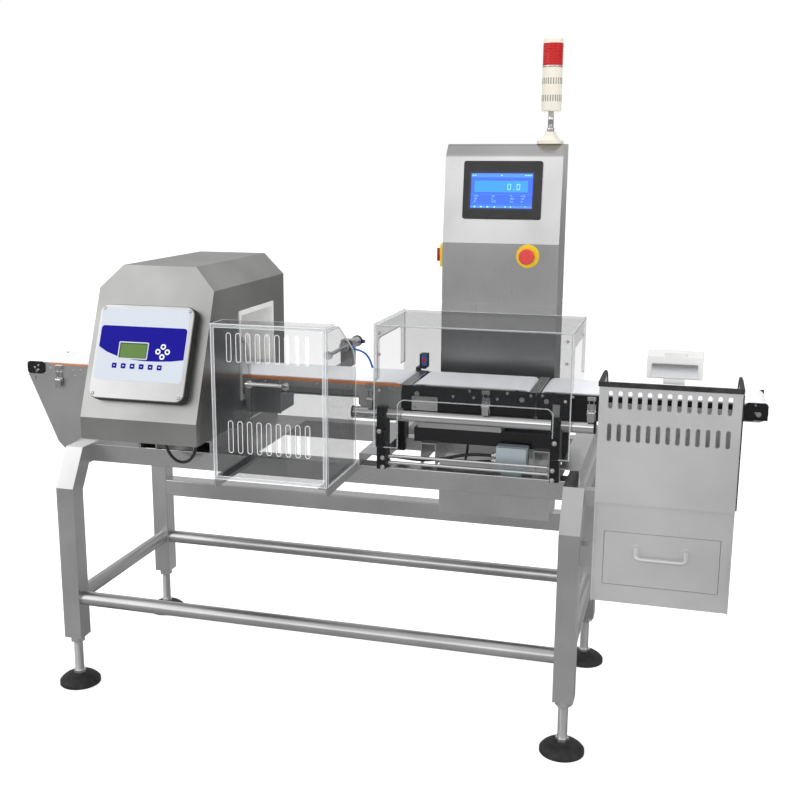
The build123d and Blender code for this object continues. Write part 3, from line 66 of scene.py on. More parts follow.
# Faces of the solids that details lie on
cover_front = 102.0
side_plate_front = 104.0
face_plate_front = 101.0
clamp_front = 85.0
infeed_end_front = 97.0
outfeed_end_front = 100.0
rejector_front = 306.0
sensor_front = 312.0
skirt_front = -181.0
bin_x = (524.0, 808.0)
bin_y = (-140.0, 88.0)
bin_z = (672.0, 1047.0)
hood_x = (858.0, 1340.0)
hood_y = (75.0, 370.0)
hood_z = (722.0, 1028.0)
hood_apron = 844.0
bin_corner = 50.0
hood_corner = 16.0
lamp_middle = (1222.0, 440.0)
junction_glands = (1156.0, 136.0)
junction_height = 56.0

# How far a detail starts above its face, and the thickness of the thinnest bands
lift = 0.05
skin = 0.3

# The turn of a local plane that faces the front
facing_front = Matrix(((1, 0, 0), (0, 0, -1), (0, 1, 0))).to_4x4()


def at(x, y, z):
    """A place in the frame, from millimetres in the stand's axes."""
    return origin + Vector((x, y, z)) * mm


def front_view(x, y, z):
    """A local plane facing the front: x to the right, y up, z towards the viewer."""
    return Matrix.Translation(at(x, y, z)) @ facing_front


def left_view(x, y, z):
    """A local plane facing the left end: x to the front, y up, z to the left."""
    turn = Matrix(((0, 0, -1), (-1, 0, 0), (0, 1, 0))).to_4x4()
    return Matrix.Translation(at(x, y, z)) @ turn


def right_view(x, y, z):
    """A local plane facing the right end: x to the back, y up, z to the right."""
    turn = Matrix(((0, 0, 1), (1, 0, 0), (0, 1, 0))).to_4x4()
    return Matrix.Translation(at(x, y, z)) @ turn


def top_view(x, y, z):
    """A local plane facing up: x to the right, y to the back."""
    return Matrix.Translation(at(x, y, z))


def leaning_view(x, y, z, run, rise):
    """A local plane that leans back by run over rise: x to the right, y up the slope, z out."""
    slope = Vector((0, run, rise)).normalized()
    across = Vector((1, 0, 0))
    out = across.cross(slope)
    turn = Matrix((across, slope, out)).transposed().to_4x4()
    return Matrix.Translation(at(x, y, z)) @ turn


lid_face = leaning_view(348.0, skirt_front, 812.0, 145.0, 354.0)
lid_front = 29.0
panel_face = leaning_view(1110.0, 375.0, 1209.0, 26.0, 223.0)
panel_front = 6.0


# Node helpers for the materials and the light

def map_range(tree, value, before, after, kind="LINEAR"):
    """Stretches a value from one range to another."""
    node = tree.nodes.new("ShaderNodeMapRange")
    node.interpolation_type = kind
    for name, limit in zip(("From Min", "From Max", "To Min", "To Max"), before + after):
        node.inputs[name].default_value = limit
    tree.links.new(value, node.inputs["Value"])
    return node.outputs["Result"]


def math_node(tree, operation, one, other=None):
    """Works on a value alone, or on a value and another value or a number."""
    node = tree.nodes.new("ShaderNodeMath")
    node.operation = operation
    tree.links.new(one, node.inputs[0])
    if isinstance(other, float):
        node.inputs[1].default_value = other
    elif other is not None:
        tree.links.new(other, node.inputs[1])
    return node.outputs["Value"]


def plain(name, colour, roughness, metallic=0.0, **sockets):
    """A material with fixed values on its shader's own sockets."""
    material = bpy.data.materials.new(name)
    material.use_nodes = True
    shader = material.node_tree.nodes["Principled BSDF"]
    shader.inputs["Base Color"].default_value = (*colour, 1)
    shader.inputs["Roughness"].default_value = roughness
    shader.inputs["Metallic"].default_value = metallic
    for socket, value in sockets.items():
        shader.inputs[socket.replace("_", " ")].default_value = value
    return material


def noise(material, stretch, detail=3.0):
    """A noise value over the object's own coordinates, in features per metre along each axis."""
    tree = material.node_tree
    coordinates = tree.nodes.new("ShaderNodeTexCoord")
    mapping = tree.nodes.new("ShaderNodeMapping")
    mapping.inputs["Scale"].default_value = stretch
    texture = tree.nodes.new("ShaderNodeTexNoise")
    texture.inputs["Scale"].default_value = 1.0
    texture.inputs["Detail"].default_value = detail
    tree.links.new(coordinates.outputs["Object"], mapping.inputs["Vector"])
    tree.links.new(mapping.outputs["Vector"], texture.inputs["Vector"])
    return texture.outputs["Fac"]


def vary(material, value, low, high):
    """Runs the roughness between two values by a noise value."""
    tree = material.node_tree
    roughness = map_range(tree, value, (0.25, 0.75), (low, high))
    tree.links.new(roughness, tree.nodes["Principled BSDF"].inputs["Roughness"])


def tint(material, value, low, high):
    """Runs the base colour between two colours by a noise value."""
    tree = material.node_tree
    ramp = tree.nodes.new("ShaderNodeValToRGB")
    ramp.color_ramp.elements[0].position = 0.3
    ramp.color_ramp.elements[0].color = (*low, 1)
    ramp.color_ramp.elements[1].position = 0.7
    ramp.color_ramp.elements[1].color = (*high, 1)
    tree.links.new(value, ramp.inputs["Fac"])
    tree.links.new(ramp.outputs["Color"], tree.nodes["Principled BSDF"].inputs["Base Color"])


def emboss(material, value, depth):
    """Raises the surface by a noise value, depth in metres."""
    tree = material.node_tree
    bump = tree.nodes.new("ShaderNodeBump")
    bump.inputs["Distance"].default_value = depth
    bump.inputs["Strength"].default_value = 1.0
    tree.links.new(value, bump.inputs["Height"])
    tree.links.new(bump.outputs["Normal"], tree.nodes["Principled BSDF"].inputs["Normal"])


def brushed(name, light, dark, roughness, stretch, depth=0.000003):
    """Brushed metal: fine streaks along one axis, with broad soft changes of tone."""
    material = plain(name, light, roughness, 1.0)
    streaks = noise(material, stretch)
    clouds = noise(material, (5.0, 5.0, 5.0), 2.0)
    tint(material, clouds, dark, light)
    vary(material, streaks, roughness * 0.88, roughness * 1.15)
    emboss(material, streaks, depth)
    return material


def glossy_plastic(name, colour, roughness, texture=900.0, depth=0.00001, **sockets):
    """Moulded plastic or paint with a faint grain."""
    material = plain(name, colour, roughness, **sockets)
    grain = noise(material, (texture, texture, texture))
    vary(material, noise(material, (30.0, 30.0, 30.0)), roughness * 0.85, roughness * 1.25)
    emboss(material, grain, depth)
    return material


steel = (0.68, 0.68, 0.68)
steel_dark = (0.54, 0.54, 0.54)
brushed_along_x = brushed("steel brushed along", steel, steel_dark, 0.30, (16, 1500, 1500))
brushed_upright = brushed("steel brushed upright", steel, steel_dark, 0.30, (1500, 1500, 16))
brushed_deep = brushed("steel brushed in depth", steel, steel_dark, 0.28, (1500, 16, 1500))
# The bin's sheet is a lighter copy of the steel: painted light on the steel bin and its drawer
painted_light_bin_steel = brushed("bin sheet", (0.86, 0.86, 0.86), (0.74, 0.74, 0.74), 0.54, (1500, 1500, 22))
# The head's sheet is a darker copy of the steel: painted shade on the head and the control box
painted_shade_head_steel = brushed("head sheet", (0.49, 0.49, 0.48), (0.37, 0.37, 0.36), 0.33, (700, 700, 16))
brushed_barrel = brushed("barrel steel", (0.66, 0.66, 0.66), (0.56, 0.56, 0.56), 0.26, (900, 20, 900))
bright_steel = brushed("bright steel", (0.75, 0.75, 0.75), (0.66, 0.66, 0.66), 0.16, (300, 300, 300))
cast_alloy = brushed("cast alloy", (0.52, 0.53, 0.54), (0.42, 0.43, 0.44), 0.42, (350, 350, 350), 0.00006)
black_anodised = glossy_plastic("black anodised", (0.010, 0.010, 0.011), 0.40, Specular_IOR_Level=0.22)
dark_gloss = glossy_plastic("dark gloss cover", (0.012, 0.012, 0.014), 0.10)
white_liner = glossy_plastic("white liner", (0.86, 0.86, 0.84), 0.38)
vent_shadow = glossy_plastic("vent shadow", (0.10, 0.095, 0.085), 0.5)
black_plastic = glossy_plastic("black plastic", (0.011, 0.011, 0.012), 0.34, Specular_IOR_Level=0.22)
screen_black = glossy_plastic("screen frame", (0.010, 0.010, 0.012), 0.30)
yellow_plastic = glossy_plastic("yellow plastic", (0.90, 0.66, 0.015), 0.30)
red_plastic = glossy_plastic("red plastic", (0.72, 0.060, 0.060), 0.30)
dark_red_plastic = glossy_plastic("dark red plastic", (0.42, 0.008, 0.010), 0.22)
beige_plastic = glossy_plastic("beige plastic", (0.74, 0.70, 0.60), 0.34)
blue_plastic = glossy_plastic("blue plastic", (0.02, 0.12, 0.55), 0.28)
white_paint = glossy_plastic("white paint", (0.82, 0.82, 0.80), 0.30, 500.0, 0.00003)
blue_grey_paint = glossy_plastic("blue grey paint", (0.33, 0.39, 0.42), 0.40, 600.0, 0.00004)
copper_edge = glossy_plastic("copper edge", (0.62, 0.20, 0.06), 0.35)
copper_wire = brushed("copper wire", (0.72, 0.33, 0.18), (0.55, 0.24, 0.12), 0.30, (200, 200, 1800))
board_green = glossy_plastic("green board", (0.015, 0.12, 0.045), 0.35)
label_pale = glossy_plastic("pale overlay", (0.58, 0.63, 0.70), 0.34)
label_blue = glossy_plastic("blue overlay", (0.006, 0.003, 0.260), 0.45, Specular_IOR_Level=0.12)
label_white = glossy_plastic("white print", (0.85, 0.87, 0.90), 0.30)
silver_print = brushed("silver print", (0.66, 0.68, 0.70), (0.58, 0.60, 0.62), 0.30, (500, 500, 500))


def belt_weave():
    """A white belt cover with a fine fabric print and faint use marks."""
    material = plain("belt cover", (0.88, 0.89, 0.92), 0.48)
    tint(material, noise(material, (40.0, 9.0, 9.0), 5.0), (0.84, 0.86, 0.90), (0.92, 0.93, 0.96))
    weave = noise(material, (1400.0, 1400.0, 200.0), 1.0)
    emboss(material, weave, 0.00004)
    return material


def foot_rubber():
    """Black rubber with dust in its grain."""
    material = plain("foot rubber", (0.015, 0.015, 0.015), 0.60)
    tint(material, noise(material, (60.0, 60.0, 60.0), 6.0), (0.010, 0.010, 0.010), (0.030, 0.030, 0.029))
    emboss(material, noise(material, (900.0, 900.0, 900.0)), 0.00006)
    return material


# Sockets of the Mix node for colours, which share their names with those for numbers
mix_colour_a = 6
mix_colour_b = 7
mix_colour_result = 2


def foot_finish(top, thread_from, pitch):
    """Dusty black rubber up to a height of the object, and bright threaded steel above it, in metres."""
    material = foot_rubber()
    tree = material.node_tree
    shader = tree.nodes["Principled BSDF"]
    grain = shader.inputs["Base Color"].links[0].from_socket
    coordinates = tree.nodes.new("ShaderNodeTexCoord")
    split = tree.nodes.new("ShaderNodeSeparateXYZ")
    tree.links.new(coordinates.outputs["Object"], split.inputs["Vector"])
    height = split.outputs["Z"]
    metal = math_node(tree, "GREATER_THAN", height, top)
    colour = tree.nodes.new("ShaderNodeMix")
    colour.data_type = "RGBA"
    tree.links.new(metal, colour.inputs["Factor"])
    tree.links.new(grain, colour.inputs[mix_colour_a])
    colour.inputs[mix_colour_b].default_value = (0.78, 0.78, 0.78, 1)
    tree.links.new(colour.outputs[mix_colour_result], shader.inputs["Base Color"])
    tree.links.new(metal, shader.inputs["Metallic"])
    tree.links.new(map_range(tree, metal, (0.0, 1.0), (0.60, 0.28)), shader.inputs["Roughness"])
    wave = math_node(tree, "SINE", math_node(tree, "MULTIPLY", height, math.tau / pitch))
    threaded = math_node(tree, "GREATER_THAN", height, thread_from)
    emboss(material, math_node(tree, "MULTIPLY", wave, threaded), 0.0004)
    return material


def clear_sheet(name, colour, facing, grazing):
    """Clear acrylic: a thin haze that thickens and shines where it is seen at a slant."""
    material = plain(name, colour, 0.03, IOR=1.49, Specular_IOR_Level=0.5)
    vary(material, noise(material, (8.0, 8.0, 60.0), 4.0), 0.015, 0.07)
    tree = material.node_tree
    weight = tree.nodes.new("ShaderNodeLayerWeight")
    weight.inputs["Blend"].default_value = 0.35
    slant = map_range(tree, weight.outputs["Facing"], (0.0, 1.0), (facing, grazing))
    path = tree.nodes.new("ShaderNodeLightPath")
    lighter = map_range(tree, path.outputs["Is Shadow Ray"], (0.0, 1.0), (1.0, 0.2))
    haze = math_node(tree, "MULTIPLY", slant, lighter)
    tree.links.new(haze, tree.nodes["Principled BSDF"].inputs["Alpha"])
    return material


def lamp_glass():
    """The red lens: coloured, half clear plastic."""
    material = plain("lamp lens", (0.80, 0.012, 0.012), 0.12, Transmission_Weight=0.35, IOR=1.45)
    vary(material, noise(material, (40.0, 40.0, 40.0)), 0.08, 0.16)
    return material


def glowing(name, colour, strength):
    """A lit display colour behind its glass."""
    material = plain(name, colour, 0.22, Emission_Color=(*colour, 1), Emission_Strength=strength)
    vary(material, noise(material, (400.0, 400.0, 400.0)), 0.18, 0.26)
    return material


belt_cover = belt_weave()
rubber = foot_rubber()
foot_to_object = nodes["foot_front_left"].matrix_world.inverted()
foot_black_and_steel = foot_finish((foot_to_object @ at(25.0, 25.0, 30.3)).z,
                                   (foot_to_object @ at(25.0, 25.0, 40.0)).z, 0.0025)
clear_acrylic = clear_sheet("clear acrylic", (0.035, 0.037, 0.040), 0.15, 0.32)
# Painted sheen: a paler haze in bands along the edges of the clear sheets
painted_sheen_edge = clear_sheet("acrylic edge painted sheen", (0.60, 0.62, 0.64), 0.30, 0.55)
# Painted highlights: near-opaque white strips along the sheets' edges
painted_highlight_edge = clear_sheet("acrylic edge painted highlight", (0.92, 0.93, 0.94), 0.80, 0.95)
lens_red = lamp_glass()
screen_blue = glowing("screen field", (0.020, 0.085, 0.74), 0.95)
screen_bright = glowing("screen panel", (0.020, 0.19, 0.84), 0.95)
screen_white = glowing("screen figures", (0.30, 0.80, 1.0), 1.0)
screen_bar = glowing("screen bar", (0.045, 0.17, 0.90), 0.9)
lcd_green = glowing("green display", (0.085, 0.18, 0.030), 0.08)
# Painted shade: a dark band just inside the display's rim
lcd_edge_shade = glossy_plastic("display edge shade", (0.02, 0.08, 0.02), 0.4)
hose_blue = glossy_plastic("blue hose", (0.02, 0.16, 0.65), 0.25)
cable_black = glossy_plastic("cable jacket", (0.014, 0.014, 0.015), 0.42, 700.0, 0.00003)

finishes = {
    brushed_upright: ("stand_legs", "column_cabinet", "infeed_frame"),
    brushed_along_x: ("stand_rails", "mounting_brackets", "control_lid", "slider_beds"),
    brushed_deep: ("stand_beams", "infeed_tail_roller", "infeed_drive_roller", "weigh_tail_roller",
                   "weigh_drive_roller", "outfeed_tail_roller", "outfeed_drive_roller"),
    painted_shade_head_steel: ("detector_housing", "control_box"),
    painted_light_bin_steel: ("steel_bin", "bin_drawer"),
    bright_steel: ("carrier_tubes", "foot_lock_nuts", "latch_bases", "latch_infeed_left",
                   "latch_infeed_right", "latch_weigh", "latch_outfeed", "clear_bin_handle", "pusher_rod",
                   "rejector_paddle"),
    cast_alloy: ("belt_motors", "load_cell"),
    brushed_barrel: ("pusher_cylinder",),
    black_anodised: ("weigh_frame", "outfeed_frame", "carrier_clamps"),
    dark_gloss: ("weigh_base",),
    white_liner: ("tunnel_liner",),
    belt_cover: ("belts",),
    clear_acrylic: ("clear_bin", "weigh_hood"),
    rubber: ("rubber_edging",),
    foot_black_and_steel: ("foot_front_left", "foot_front_right", "foot_rear_left", "foot_rear_right"),
    black_plastic: ("end_fittings", "product_sensor"),
    screen_black: ("operator_screen",),
    copper_wire: ("detector_coils",),
    board_green: ("electronics",),
    yellow_plastic: ("yellow_bases",),
    red_plastic: ("stop_button",),
    dark_red_plastic: ("switch_handle",),
    beige_plastic: ("tower_body",),
    lens_red: ("tower_lens",),
    white_paint: ("rejector_housing",),
    blue_grey_paint: ("junction_box",),
}
for finish, names in finishes.items():
    for name in names:
        nodes[name].data.materials.clear()
        nodes[name].data.materials.append(finish)


# Mesh helpers for the small pieces

def piece(name, mesh, material, body=machine, smooth=False):
    """Turns a bmesh into an object that rides on a body."""
    bmesh.ops.recalc_face_normals(mesh, faces=mesh.faces[:])
    data = bpy.data.meshes.new(name)
    mesh.to_mesh(data)
    mesh.free()
    data.materials.append(material)
    if smooth:
        for face in data.polygons:
            face.use_smooth = True
    thing = bpy.data.objects.new(name, data)
    bpy.context.scene.collection.objects.link(thing)
    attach(thing, body)


def arc(centre, radius, start, end, steps):
    """Points on an arc in a local plane, with angles in degrees."""
    turns = [math.radians(start + (end - start) * n / steps) for n in range(steps + 1)]
    return [(centre[0] + radius * math.cos(t), centre[1] + radius * math.sin(t)) for t in turns]


def rounded_box(left, right, bottom, top, radius, steps=6):
    """The outline of a rectangle with round corners."""
    corners = (((right - radius, top - radius), 0), ((left + radius, top - radius), 90),
               ((left + radius, bottom + radius), 180), ((right - radius, bottom + radius), 270))
    return [point for centre, start in corners for point in arc(centre, radius, start, start + 90, steps)]


def ring_of(radius, steps=circle_steps):
    """The outline of a circle round the local origin."""
    return [(radius * math.cos(2 * math.pi * n / steps), radius * math.sin(2 * math.pi * n / steps))
            for n in range(steps)]


def shifted(outline, x, y):
    """An outline moved in its plane."""
    return [(point[0] + x, point[1] + y) for point in outline]


def inset(outline, width):
    """An outline moved inwards by a width; its points run anticlockwise."""
    count = len(outline)
    moved = []
    for n in range(count):
        before, here, after = (Vector(outline[(n + step) % count]) for step in (-1, 0, 1))
        one, other = (here - before).normalized(), (after - here).normalized()
        normals = Vector((-one.y, one.x)), Vector((-other.y, other.x))
        middle = normals[0] + normals[1]
        moved.append(tuple(here + middle * (2 * width / middle.length_squared)))
    return moved


def add_band(mesh, place, outline, width, low, high):
    """Adds a band of a width along the inside of an outline."""
    add_frame(mesh, place, outline, inset(outline, width), low, high)


def slot_outline(x, bottom, top, width, steps=6):
    """The outline of an upright slot with round ends."""
    radius = width / 2
    return (arc((x, top - radius), radius, 0, 180, steps)
            + arc((x, bottom + radius), radius, 180, 360, steps))


def rounded_corner(corner, before, after, radius, steps=5):
    """Points on an arc that rounds a corner between two neighbours."""
    here, one, other = Vector(corner), Vector(before), Vector(after)
    to_one, to_other = (one - here).normalized(), (other - here).normalized()
    half = to_one.angle(to_other) / 2
    centre = here + (to_one + to_other).normalized() * (radius / math.sin(half))
    start = here + to_one * (radius / math.tan(half)) - centre
    end = here + to_other * (radius / math.tan(half)) - centre
    points = []
    for n in range(steps + 1):
        mixed = start.lerp(end, n / steps).normalized() * radius
        points.append(tuple(centre + mixed))
    return points


def add_slab(mesh, place, outline, low, high):
    """Adds a slab of an outline between two heights of a local plane."""
    rings = [[mesh.verts.new(place @ Vector((x * mm, y * mm, z * mm))) for x, y in outline]
             for z in (low, high)]
    mesh.faces.new(rings[0][::-1])
    mesh.faces.new(rings[1])
    count = len(outline)
    for n in range(count):
        after = (n + 1) % count
        mesh.faces.new((rings[0][n], rings[0][after], rings[1][after], rings[1][n]))


def add_frame(mesh, place, outer, inner, low, high):
    """Adds a slab between an outer and an inner outline with the same number of points."""
    count = len(outer)
    rings = [[mesh.verts.new(place @ Vector((x * mm, y * mm, z * mm))) for x, y in outline]
             for outline, z in ((outer, low), (outer, high), (inner, high), (inner, low))]
    for one, other in zip(rings, rings[1:] + rings[:1]):
        for n in range(count):
            after = (n + 1) % count
            mesh.faces.new((one[n], one[after], other[after], other[n]))


def add_turned(mesh, place, profile, steps=small_steps):
    """Adds a turned form from (radius, height) points, closed at both ends."""
    rings = [[mesh.verts.new(place @ Vector((x * mm, y * mm, height * mm)))
              for x, y in ring_of(radius, steps)] for radius, height in profile]
    for one, other in zip(rings, rings[1:]):
        for n in range(steps):
            after = (n + 1) % steps
            mesh.faces.new((one[n], one[after], other[after], other[n]))
    mesh.faces.new(rings[0][::-1])
    mesh.faces.new(rings[-1])


def add_screw(mesh, place, radius, height):
    """Adds a button head with a hollow for the key."""
    socket = radius * 0.45
    add_turned(mesh, place, ((radius, 0), (radius, height * 0.45), (radius * 0.82, height * 0.85),
                             (radius * 0.6, height), (socket, height), (socket * 0.9, height * 0.35)))


def screws(name, view, places, radius, height):
    """Button heads at places on one kind of face, with a washer under each."""
    mesh = bmesh.new()
    washer = height * 0.25
    for x, y, z in places:
        place = view(x, y, z)
        add_turned(mesh, place, ((radius * 1.35, 0), (radius * 1.35, washer)), small_steps)
        add_screw(mesh, place @ Matrix.Translation((0, 0, washer * mm)), radius, height)
    piece(name, mesh, bright_steel)


# The printed overlay of the control box

overlay_thickness = 0.6
print_thickness = 0.15


def overlay():
    """The pale panel with its blue field, display and keys."""
    ground = bmesh.new()
    low = lid_front
    high = low + overlay_thickness
    add_slab(ground, lid_face, rounded_box(-116.0, 114.0, 90.0, 267.0, 8.0), low, high)
    piece("overlay_panel", ground, label_pale)

    field = bmesh.new()
    low = high
    high = low + print_thickness
    dip = [(112.0, 146.0), (80.0, 141.5), (48.0, 139.5), (20.0, 138.8), (-2.0, 139.4), (-30.0, 142.0),
           (-60.0, 147.5), (-90.0, 157.0), (-113.0, 170.0)]
    outline = dip + arc((-105.0, 214.0), 8.0, 180, 90, 5) + arc((104.0, 214.0), 8.0, 90, 0, 5)
    add_slab(field, lid_face, outline, low, high)
    piece("overlay_field", field, label_blue)

    rim = bmesh.new()
    low = high
    add_frame(rim, lid_face, rounded_box(-60.0, 18.0, 142.0, 184.0, 3.0),
              rounded_box(-57.5, 15.5, 144.5, 181.5, 1.5), low, low + 3 * print_thickness)
    piece("display_rim", rim, silver_print)

    # A dark band inside the rim: painted shade on the display
    shadow = bmesh.new()
    add_frame(shadow, lid_face, rounded_box(-57.5, 15.5, 144.5, 181.5, 1.5),
              rounded_box(-54.0, 13.0, 146.0, 178.5, 1.0), low, low + print_thickness)
    piece("display_inner_edge_shade", shadow, lcd_edge_shade)

    glass = bmesh.new()
    add_slab(glass, lid_face, rounded_box(-54.0, 13.0, 146.0, 178.5, 1.0), low, low + print_thickness)
    piece("display_glass", glass, lcd_green)

    keys = bmesh.new()
    for x, y in ((55.9, 175.6), (43.7, 163.4), (68.0, 163.4), (55.9, 151.2)):
        add_frame(keys, lid_face, shifted(ring_of(6.8), x, y), shifted(ring_of(3.4), x, y),
                  low, low + 2 * print_thickness)
    piece("direction_keys", keys, label_white)

    buttons = bmesh.new()
    first, last, count, half = -65.3, 52.9, 6, 6.2
    for n in range(count):
        x = first + (last - first) * n / (count - 1)
        add_slab(buttons, lid_face, shifted(rounded_box(-half, half, -half, half, 2.2), x, 125.0),
                 lid_front + overlay_thickness, lid_front + overlay_thickness + 2 * print_thickness)
    piece("function_keys", buttons, label_blue)

    marks = bmesh.new()
    for n in range(count):
        x = first + (last - first) * n / (count - 1)
        reach = 1.4 + 0.5 * (n % 3)
        add_slab(marks, lid_face, shifted(rounded_box(-reach, reach, -1.0, 1.0, 0.6), x, 125.0),
                 lid_front + overlay_thickness + 2 * print_thickness,
                 lid_front + overlay_thickness + 3 * print_thickness)
    piece("function_key_marks", marks, label_white)

    heads = bmesh.new()
    for x, y in ((-112.5, 264.7), (112.5, 264.7), (-112.5, 55.3), (112.5, 55.3)):
        spot = lid_face @ Matrix.Translation((x * mm, y * mm, lid_front * mm))
        add_screw(heads, spot, 4.2, 2.6)
    piece("lid_screws", heads, bright_steel)


overlay()


# The figures on the operator screen are plain seven segment numbers

segment_shapes = {
    "a": ((0.12, 0.94), (0.88, 1.0)), "b": ((0.88, 0.54), (1.0, 0.94)), "c": ((0.88, 0.06), (1.0, 0.46)),
    "d": ((0.12, 0.0), (0.88, 0.06)), "e": ((0.0, 0.06), (0.12, 0.46)), "f": ((0.0, 0.54), (0.12, 0.94)),
    "g": ((0.12, 0.47), (0.88, 0.53)), ".": ((0.4, 0.0), (0.6, 0.08))}
segments_of = {"0": "abcdef", "5": "acdfg", "2": "abdeg", ".": "."}


def add_figures(mesh, place, text, left, bottom, width, height, level):
    """Adds figures in a row from a left edge, each as thin slabs for its lit segments."""
    pitch = width * 1.4
    for n, figure in enumerate(text):
        for segment in segments_of[figure]:
            (x0, y0), (x1, y1) = segment_shapes[segment]
            x = left + n * pitch
            outline = [(x + x0 * width, bottom + y0 * height), (x + x1 * width, bottom + y0 * height),
                       (x + x1 * width, bottom + y1 * height), (x + x0 * width, bottom + y1 * height)]
            add_slab(mesh, place, outline, level, level + print_thickness)


def operator_display():
    """The lit picture of the operator screen: a bar, a bright field with figures and rows of values."""
    level = panel_front
    glass = bmesh.new()
    add_slab(glass, panel_face, rounded_box(-81.0, 78.5, 90.0, 178.0, 1.0), level, level + print_thickness)
    piece("screen_field", glass, screen_blue)

    level += print_thickness
    bar = bmesh.new()
    add_slab(bar, panel_face, rounded_box(-81.0, 78.5, 168.0, 178.0, 0.5), level, level + print_thickness)
    add_slab(bar, panel_face, rounded_box(-81.0, 78.5, 90.0, 96.0, 0.5), level, level + print_thickness)
    piece("screen_bars", bar, screen_bar)

    panel = bmesh.new()
    add_slab(panel, panel_face, rounded_box(-71.0, 66.0, 131.5, 158.5, 1.0), level,
             level + print_thickness)
    piece("screen_panel", panel, screen_bright)

    figures = bmesh.new()
    top = level + print_thickness
    add_figures(figures, panel_face, "0.0", 14.0, 136.5, 8.5, 15.0, top)
    for column, left in enumerate((-72.0, -26.0, 22.0, 50.0)):
        for row, y in enumerate((119.0, 112.0, 105.0)):
            shown = "2500"[: 4 - (row + column) % 3]
            add_figures(figures, panel_face, shown, left, y, 2.0, 3.4, level)
    for x in (-70.0, -53.0, -36.0, -18.0, 10.0, 24.0, 62.0):
        add_slab(figures, panel_face, rounded_box(x - 2.0, x + 2.0, 91.5, 95.0, 0.8, 3), level, top)
    for x in (-76.0, -70.0, -2.0, 60.0, 66.0, 72.0):
        add_slab(figures, panel_face, rounded_box(x - 2.0, x + 2.0, 172.5, 174.0, 0.4, 3), top,
                 top + print_thickness)
    piece("screen_figures", figures, screen_white)

    frames = bmesh.new()
    add_frame(frames, panel_face, rounded_box(-72.0, 67.0, 130.5, 159.5, 1.5),
              rounded_box(-71.0, 66.0, 131.5, 158.5, 1.0), level, top)
    for y in (124.5, 99.0):
        add_slab(frames, panel_face, rounded_box(-80.0, 77.5, y, y + 0.7, 0.2, 2), level, top)
    piece("screen_lines", frames, screen_bar)

    rim = bmesh.new()
    add_frame(rim, panel_face, rounded_box(-86.0, 83.0, 85.0, 183.0, 3.0),
              rounded_box(-81.2, 78.7, 89.8, 178.2, 1.2), panel_front, panel_front + 0.8)
    piece("screen_rim", rim, dark_gloss)


operator_display()


# Fasteners

def all_screws():
    """Every visible button head, by the face that it sits on."""
    screws("infeed_screws", front_view,
           [(x, cover_front, z) for x, z in ((-61, 866), (11, 865), (13, 849), (32, 866), (-112, 838),
                                              (-77, 852), (120, 866), (180, 866))], 2.6, 2.0)
    screws("infeed_plate_screws", front_view,
           [(x, side_plate_front, 866.0) for x in (520, 560, 600, 700, 790, 890)], 2.6, 2.0)
    screws("end_screws", front_view,
           [(x, infeed_end_front, z) for x, z in ((-94, 874), (-95, 862), (-105, 868))], 2.4, 1.8)
    screws("weigh_screws", front_view,
           [(x, side_plate_front, z) for x, z in ((1092, 872), (1184, 872), (1241, 869), (1268, 871),
                                                   (1340, 872), (1051, 856), (1102, 856), (1160, 856))],
           2.8, 2.2)
    screws("face_plate_screws", front_view,
           [(x, face_plate_front, z) for x in (956, 1004) for z in (844, 824)], 2.4, 1.8)
    screws("outfeed_screws", front_view,
           [(x, side_plate_front, 870) for x in (1735, 1715)], 2.6, 2.0)
    screws("rejector_screws", front_view, [(x, rejector_front, 909.0) for x in (1543, 1591)], 4.0, 2.6)
    screws("hood_screws", front_view,
           [(x, hood_y[0], z) for x in (872, 1326) for z in (866, 956, 1008)], 3.0, 2.4)
    screws("clamp_screws", front_view,
           [(x, clamp_front, z) for x in (874, 1304) for z in (730, 752)], 3.6, 3.0)


all_screws()


# Strips, hoses and cords

def copper_strip():
    """The thin coloured edge along the front of the infeed belt."""
    mesh = bmesh.new()
    add_slab(mesh, top_view(0, 0, 0), [(-76.0, 103.3), (918.0, 103.3), (918.0, 107.4), (-76.0, 107.4)],
             872.5, 879.4)
    piece("belt_edge_strip", mesh, copper_edge)


copper_strip()

# The routes of the cables and the hose
detector_cable_route = [(286, 72, 758), (286, 72, 724), (289, 72, 691), (300, 72, 661), (321, 72, 643),
                        (347, 72, 642), (368, 72, 659), (378, 72, 689), (381, 72, 723), (381, 72, 758)]
sensor_cable_route = [(1144, 136, 706), (1106, 136, 706), (1068, 136, 701), (1030, 137, 690),
                      (992, 138, 682), (954, 140, 679), (920, 141, 681), (891, 141, 683), (863, 141, 683)]
drive_cable_route = [(1144, 136, 692), (1118, 136, 690), (1092, 140, 684), (1074, 158, 678),
                     (1068, 184, 676), (1067, 208, 684), (1067, 220, 703), (1067, 221, 722)]
air_hose_route = [(683, 477, 895), (704, 478, 892), (722, 484, 876), (730, 496, 848), (732, 512, 812),
                  (733, 530, 772), (733, 545, 732), (733, 553, 695), (733, 554, 664)]
cable_diameter = 8.0
thin_diameter = 6.0


def round_curve(name, route, diameter, material, roundness, steps):
    """A round cord on a smooth curve through its route."""
    curve = bpy.data.curves.new(name, "CURVE")
    curve.dimensions = "3D"
    curve.bevel_depth = diameter / 2 * mm
    curve.bevel_resolution = roundness
    curve.use_fill_caps = True
    spline = curve.splines.new("NURBS")
    spline.points.add(len(route) - 1)
    for point, place in zip(spline.points, route):
        point.co = (*at(*place), 1)
    spline.order_u = 3
    spline.use_endpoint_u = True
    spline.resolution_u = steps
    curve.materials.append(material)
    cord = bpy.data.objects.new(name, curve)
    bpy.context.scene.collection.objects.link(cord)
    return cord


def free_cable(name, node, route, diameter, material):
    """A cable or hose that stands for its solid."""
    cable = round_curve(name, route, diameter, material, 4, 12)
    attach(cable, machine)
    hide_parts(node)


